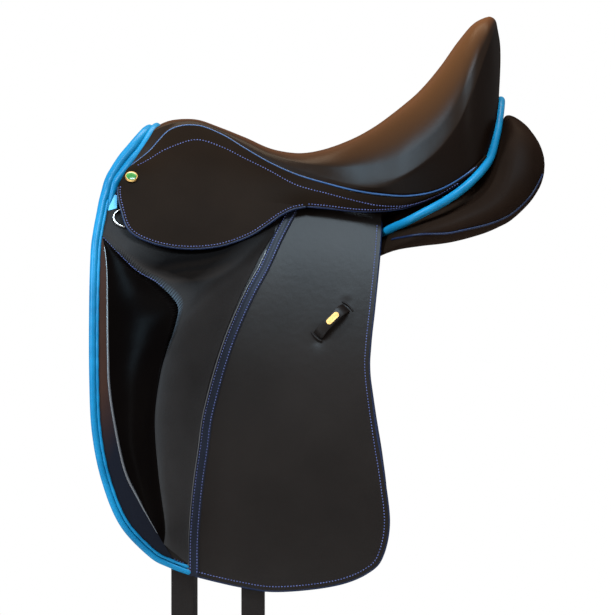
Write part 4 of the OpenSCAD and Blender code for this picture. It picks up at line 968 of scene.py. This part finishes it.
for side, sign in sides.items():
    body = "flap_" + side
    bm = gridMesh(keeperPlace, 64, 10, sign)
    piece = sheetPiece("keeper_" + side + "_strap", bm, sign * outY, strapMat, body,
                       keeper["thick"], keeper["edge"])
    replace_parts(piece, "keeper_" + side)
    for end, place in ((-1, "_top"), (1, "_low")):
        bm = tubeMesh(lambda u: keeperLip(end, u), keeper["lipR"], 24, outY, sign, 8)
        finishPiece("keeperLip_" + side + place, bm, strapMat, body)
print("keepers made")


# stuffed panels
panel = {
    "lines": {
        "outer": [(-240, 110, -40), (-196, 108, -38), (-150, 108, -36), ("sweat", -100, -20, 4),
            ("sweat", -50, -8, 0.5), ("sweat", 0, 0, 0.5), ("sweat", 44, 2, 0.5), (62, 96, 8),
            (84, 132, 22), (108, 151, 34), (142, 155, 44), (174, 153, 57), (194, 151, 67), (211, 146, 78),
            (232, 134, 92), (247, 108, 106)],
        "outerTop": [(-216, 70, 56), (-186, 60, 52), (-150, 57, 46), (-100, 62, 44), (-50, 70, 38),
            (0, 72, 36), (44, 70, 33), (62, 72, 24), (84, 106, 33), (108, 125, 42), (142, 126, 58),
            (174, 114, 82), (194, 108, 106), (211, 106, 136.5), (232, 104, 134.5), (247, 96, 116)],
        "top": [(-202, 46, 88), (-180, 45, 80), (-150, 44, 72), (-100, 48, 62), (-50, 52, 49),
            (0, 54, 45), (44, 54, 43), (62, 60, 42), (84, 68, 52), (108, 78, 62), (142, 80, 82),
            (174, 72, 106), (198, 72, 138), (210, 68, 155.5), (232, 72, 143), (247, 78, 118)],
        "innerTop": [(-196, 27, 100), (-178, 28, 94), (-150, 29, 86), (-100, 32, 70), (-50, 34, 53),
            (0, 35, 47), (44, 36, 45), (62, 36, 46), (84, 36, 54), (108, 36, 62), (142, 36, 82),
            (174, 36, 108), (199.5, 39, 147), (210, 38, 154), (232, 44, 137), (247, 60, 113)],
        "innerLow": [(-218, 30, 56), (-186, 31, 54), (-150, 32, 48), (-100, 34, 36), (-50, 35, 22),
            (0, 36, 16), (44, 37, 14), (62, 37, 14), (84, 38, 17), (108, 39, 20), (142, 40, 25),
            (174, 41, 34), (194, 42, 42), (211, 44, 53), (232, 48, 76), (247, 60, 96)],
        "low": [(-236, 82, -24), (-194, 86, -24), (-150, 86, -20), (-100, 84, -10), (-50, 80, -5),
            (0, 75, 0), (44, 74, 2), (62, 78, 5), (84, 88, 10), (108, 94, 13), (142, 95, 17),
            (174, 95, 25), (194, 94, 33), (211, 93, 43), (232, 90, 64), (247, 84, 88)],
        "outerLow": [("sweat", -246, -56, 3), ("sweat", -198, -56, 1), ("sweat", -150, -54, 1),
            ("sweat", -100, -40, 0.5), ("sweat", -50, -26, 0.5), ("sweat", 0, -14, 0.5),
            ("sweat", 44, -9, 0.5), (62, 101, 1), (84, 130, 12), (108, 146, 18), (142, 150, 23),
            (174, 148, 31), (194, 144, 39), (211, 139, 48), (232, 126, 68), (247, 102, 92)],
    },
    "sweatR": 702.5, "roundEnd": 0.035, "weltR": 1.1, "weltOut": 0.8, "weltSpan": (0.51, 0.985),
    "welt": [0.12, 0.07, 0.03, -0.005, -0.02, -0.035, -0.045, -0.05, -0.05, -0.035, 0],
}


def panelVertex(p):
    if p[0] != "sweat":
        return Vector(p)
    q = onBarrel(p[1], p[2], panel["sweatR"])[0]
    return Vector((q.x, q.y - p[3], q.z))


panelLines = [[panelVertex(p) for p in line] for line in panel["lines"].values()]


def panelSection(t):
    return [through(line, t) for line in panelLines]


def panelPlace(u, w):
    ring = panelSection(u)
    p = ringSpline(ring, w)
    c = sum(ring, Vector()) / len(ring)
    e = min(u, 1 - u) / panel["roundEnd"]
    k = math.sqrt(max(0.0004, 1 - (1 - e) ** 2)) if e < 1 else 1
    p = c + (p - c) * k
    return p + 0.7 * noise.noise(p * 0.025) * (p - c).normalized()


def panelWelt(u):
    section, w = panelSection(mix(*panel["weltSpan"], u)), through(panel["welt"], u)
    v = (ringSpline(section, w + 0.01) - ringSpline(section, w - 0.01)).normalized()
    return ringSpline(section, w) + panel["weltOut"] * Vector((0, v.z, -v.y))


for side, sign in sides.items():
    bm = gridMesh(panelPlace, 180, 72, sign, weld=True)
    bmesh.ops.holes_fill(bm, edges=bm.edges, sides=0)
    bmesh.ops.recalc_face_normals(bm, faces=bm.faces)
    piece = finishPiece("panel_" + side + "_stuffed", bm, liningMat, "saddle")
    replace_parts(piece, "panel_" + side)
    bm = tubeMesh(panelWelt, panel["weltR"], 120, upZ, sign, 10)
    piece = finishPiece("panelWelt_" + side, bm, navyMat, "saddle")
    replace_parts(piece, "panel_welt_" + side)
print("panels made")


# blue rolls behind the seat and on the pommel
rolls = {
    "cantle": [(63, 79, 27), (70.5, 88, 30.3), (80, 106, 36), (92, 124, 42), (108, 136, 51),
        (137, 142, 67), (163, 134, 86), (184, 112, 109), (193, 83, 135), (198, 45, 160), (200, 0, 173)],
    "pommel": [(-185, 0, 143.5), (-188.8, 22, 139.8), (-196.2, 40, 128.5), (-203.7, 52, 117.5),
        (-213, 64, 106.5), (-223.4, 76, 93.3), (-229.4, 83, 85)],
    "front": [(-193, 0, 141), (-198, 26, 137.3), (-207.2, 45, 127), (-216, 56, 116.6),
        (-224.6, 66, 106.2), (-233.2, 77.5, 93.2), (-236.8, 83.5, 85.3)],
    "cantleR": 4.7, "pommelR": 4.7, "frontR": 5.2, "bendAbove": 7, "bendBelow": 5,
}
cantleLine = pastCentre(rolls["cantle"])


def cantlePlace(u):
    p = through(cantleLine, (1 - abs(2 * u - 1)) * 10 / 11)
    return Vector((p.x, -p.y if u < 0.5 else p.y, p.z))


bm = tubeMesh(cantlePlace, rolls["cantleR"], 260, upZ, around=20)
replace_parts(finishPiece("cantleRoll", bm, azureMat, "saddle"), "cantle_roll")
for name, key in (("pommelRoll", "pommel"), ("frontRoll", "front")):
    line = bothSides(vectors(rolls[key]))
    bm = tubeMesh(lambda u: through(line, u), rolls[key + "R"], 200, Vector((1, 0, 0)), around=24)
    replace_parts(finishPiece(name, bm, azureMat, "saddle"), key + "_roll")
print("rolls made")


for side, sign in sides.items():  # the rolls run on over the flex line onto the flap
    upperBlend = overLine(side, "saddle", "flap_" + side, rolls["bendAbove"], rolls["bendBelow"])
    for name, key, end, thin in (("rollTail_", "pommel", "tail", 1.6), ("rollNeck_", "front", "neck", 4.2)):
        points = vectors(rolls[key][-2:]) + [onBarrel(x, z, barrel["flapR"])[0] for x, z in flap[end]]
        thick = rolls[key + "R"] + 0.03
        bm = tubeMesh(byLength(points), lambda u: mix(thick, thin, fade(0.25, 1, u)), 60, outY, sign, 24)
        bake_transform(finishPiece(name + side, bm, azureMat))


# D-rings, the straight side in its leather tab
ring = {"at": (-216, 48), "lift": 2.5, "half": 11.3, "deep": 15, "drop": 4, "wireR": 1.2,
        "tabWide": 12, "tabLong": 48, "tabThick": 0.9, "foldR": 2.7}
ringPlace, ringOut = onBarrel(*ring["at"], barrel["flapR"], ring["lift"])
ringUp = (flexUp - flexUp.dot(ringOut) * ringOut).normalized()
dShape = vectors([(0, -1), (0, 0), (0, 1)])
dShape += [Vector((math.sin(a), math.cos(a))) for a in [math.pi * i / 12 for i in range(1, 12)]]


def ringLine(u):
    q = ringSpline(dShape, u)
    return ringPlace + (ring["half"] * q.y - ring["drop"]) * ringUp - ring["deep"] * q.x * flexAlong


def tabPlace(u, w):  # strip that comes out from the tree, folds round the wire and goes back
    turn = math.pi * ring["foldR"]
    d = mix(-ring["tabLong"], ring["tabLong"] + turn, u)
    if d < 0:
        along, off = -d, 1
    elif d < turn:
        along, off = -ring["foldR"] * math.sin(d / ring["foldR"]), math.cos(d / ring["foldR"])
    else:
        along, off = d - turn, -1
    off *= mix(ring["foldR"], 1, fade(0, 9, along))
    return ringPlace + along * flexAlong + off * ringOut + (w - 0.5) * ring["tabWide"] * ringUp


for side, sign in sides.items():
    bm = tubeMesh(ringLine, ring["wireR"], 120, ringOut, sign, 14, ends=False)
    piece = finishPiece("dRing_" + side, bm, ringMat, "d_ring_" + side)
    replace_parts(piece, "d_ring_" + side)
    bm = gridMesh(tabPlace, 120, 8, sign)
    piece = sheetPiece("ringTab_" + side, bm, Vector((-1, 0, 0)), strapMat, "saddle",
                       ring["tabThick"])
    if side == "left":
        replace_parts(piece, "ring_tabs")
print("rings made")


# linings and webs
lining = {"width": 68, "thick": 2, "over": 1.6, "sag": 1.2, "facingWide": 22, "webThick": 2,
          "seatWeb": 36, "webDeep": 18.3, "webDip": 3.2, "girthWeb": 30, "girthX": -77, "girthR": 707.8}
channelLine = []
for t in spread(0.02, 0.79, 22):
    q = panelSection(t)
    a, b = (q[2] + q[3]) / 2, (q[3] + q[4]) / 2
    z = max(a.z, (a.z + 2 * q[3].z + b.z) / 4) + lining["over"] + lining["thick"] / 2
    channelLine.append(Vector((a.x, 0, z)))
bm = bandMesh(channelLine, lambda p: outY, lining["width"], 120, 24)
for v in bm.verts:
    v.co.z -= lining["sag"] * mm * (1 - (v.co.y / mm / (lining["width"] / 2)) ** 2)
piece = sheetPiece("gulletLining", bm, -upZ, liningMat, "saddle", lining["thick"])
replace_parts(piece, "gullet_lining")

facingLine = []
for i in range(13):
    p, u = through(vectors(rolls["front"]), 0.85 * i / 12), 0.8 * i / 12
    facingLine.append(p + Vector((3, -17 * u, 11 * u - rolls["pommelR"] - 14)))
bm = bandMesh(bothSides(facingLine), lambda p: Vector((0.15, 0.9 * p.y / 70, 1)),
              lining["facingWide"], 90, 10)
piece = sheetPiece("pommelFacing", bm, Vector((-1, 0, 0)), liningMat, "saddle",
                   lining["thick"])
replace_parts(piece, "pommel_facing")

webLine = []
for i, t in enumerate(spread(0.1, 0.7, 16)):
    deep = through(seat["dish"], t) + lining["webDeep"] + lining["webDip"] * (1 - i / 16) ** 6
    webLine.append(seatLines(t)[0] - Vector((0, 0, deep)))
webLine += vectors([(146, 0, 174), (160, 0, 184.5), (172, 0, 188.6)])
bm = bandMesh(webLine, lambda p: outY, lining["seatWeb"], 120, 12)
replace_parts(sheetPiece("seatWeb", bm, upZ, webMat, "saddle", lining["webThick"]), "seat_web")

girthX = lining["girthX"]
girthLine = vectors([(girthX, y, z) for y, z in ((0, 101.5), (24, 101), (51, 99.5), (61, 88), (68, 70))])
girthLine += [onBarrel(girthX, flexZ(girthX) - d, lining["girthR"])[0] for d in (18, 42, 66)]


def girthLie(p):  # along the flex line below it, steeper over the tree
    return Vector((1, 0, -mix(0.105, 0.42, fade(0, 25, p.z - flexZ(girthX)))))


bm = bandMesh(bothSides(girthLine), girthLie, lining["girthWeb"], 160, 10)
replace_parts(sheetPiece("girthWeb", bm, upZ, webMat, "saddle", lining["webThick"]), "girth_web")
print("linings made")


# leather under the flaps
under = {
    "sweatR": 706, "sweatThick": 3.5, "sweatEdge": 0.8, "frontIn": 12, "rearIn": 13,
    "notch": [(-203, 16), (-196, 52), (-188, 98), (-122, 98), (-122, 52), (46, 52)],
    "topFront": -205, "topRear": 48, "topHigh": 16, "topGap": 0.3,
    "straps": {"front": (-154, 68), "rear": (-77, 52)}, "strapR": 713.1, "strapThick": 4, "strapWide": 24,
    "strapLow": -596, "strapOver": 14, "pointLong": 22, "pointWide": 0.34,
    "holes": 7, "holePitch": 25, "holeR": 2.75, "holeCut": 2, "holeLow": 36,
}


def firstBelow(curve, drop, start, end):  # where a side-view curve gets drop under the flex line
    return next(t for t in spread(start, end, 400) if overFlex(*curve(t)) < -drop)


sweatFront, sweatRear = moved(frontLine, under["frontIn"]), moved(rearLine, under["rearIn"])
frontTop = firstBelow(sweatFront, under["notch"][0][1], 0, 1)
rearTop = firstBelow(sweatRear, under["notch"][-1][1], 1, 0)
sweatNotch = [sweatFront(frontTop)] + vectors([(x, flexZ(x) - d) for x, d in under["notch"]])
sweatNotch.append(sweatRear(rearTop))
sweatEdges = (lambda u: straight(sweatNotch, u), lowEdge(sweatFront, sweatRear),
              lambda w: sweatFront(mix(frontTop, flap["frontShare"], w)),
              lambda w: sweatRear(mix(rearTop, flap["rearShare"], w)))


def flapTopPlace(u, w):
    x = mix(under["topFront"], under["topRear"], u)
    return onBarrel(x, flexZ(x) + mix(under["topHigh"], under["topGap"], w), barrel["flapR"])[0]


def strapPlace(middle, top, u, w):
    z = mix(top, under["strapLow"], u)
    share = min((z - under["strapLow"]) / under["pointLong"], 1)
    x = middle + (2 * w - 1) * (under["strapWide"] / 2 * mix(under["pointWide"], 1, share))
    crown = -0.5 * abs(2 * w - 1) ** 8
    if overFlex(x, z) > axisZ:
        return onBarrel(x, z, under["strapR"], crown)[0]
    return Vector((x, axisY + under["strapR"] + crown, z))  # hangs straight below the barrel's widest line


def punch(bm, middle):  # points in the hole go, and those round it move onto its edge
    def fromMiddle(v):
        return Vector((v.co.x, v.co.z)) - middle
    gone = [v for v in bm.verts if fromMiddle(v).length < under["holeCut"] * mm]
    rim = {o for v in gone for f in v.link_faces for o in f.verts} - set(gone)
    bmesh.ops.delete(bm, geom=gone, context="VERTS")
    for v in rim:
        d = fromMiddle(v).normalized() * under["holeR"] * mm
        v.co.x, v.co.z = middle.x + d.x, middle.y + d.y


for side, sign in sides.items():
    outward = sign * outY
    bm = gridMesh(lambda u, w: onBarrel(*patch(*sweatEdges, u, w), under["sweatR"])[0], 120, 90, sign)
    bmesh.ops.dissolve_degenerate(bm, dist=0.00001, edges=bm.edges)
    piece = sheetPiece("sweatFlap_" + side, bm, outward, liningMat, "saddle",
                       under["sweatThick"], under["sweatEdge"])
    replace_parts(piece, "sweat_flap_" + side)
    bm = gridMesh(flapTopPlace, 80, 8, sign)
    piece = sheetPiece("flapTop_" + side, bm, outward, smoothMat, "saddle", flap["thick"])
    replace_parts(piece, "flap_top_" + side)
    for name, (middle, down) in under["straps"].items():
        top = flexZ(middle) - down + under["strapOver"]
        rows = round((top - under["strapLow"]) / 1.5)
        bm = gridMesh(lambda u, w: strapPlace(middle, top, u, w), rows, 16, sign)
        for k in range(under["holes"]):
            z = under["strapLow"] + under["holeLow"] + k * under["holePitch"]
            punch(bm, Vector((middle, z)) * mm)
        body = name + "_billet_" + side
        piece = sheetPiece(name + "Billet_" + side, bm, outward, strapMat, body,
                           under["strapThick"])
        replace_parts(piece, body)
print("sweat flaps and girth straps made")


# finish of the nodes that stay
finish = {
    woodMat: ["tree"], goldMat: ["keeper_plate_left", "keeper_plate_right"],
    steelMat: ["head_plate", "gullet_plate", "spring_steels", "tree_rivets", "tree_nails", "billet_studs",
               "bar_rivets", "catch_pins"],
    barMat: ["stirrup_bar_left", "stirrup_bar_right", "bar_catch_left", "bar_catch_right"],
}
for material, names in finish.items():
    for name in names:
        nodes[name].data.materials.clear()
        nodes[name].data.materials.append(material)

print("scene done")
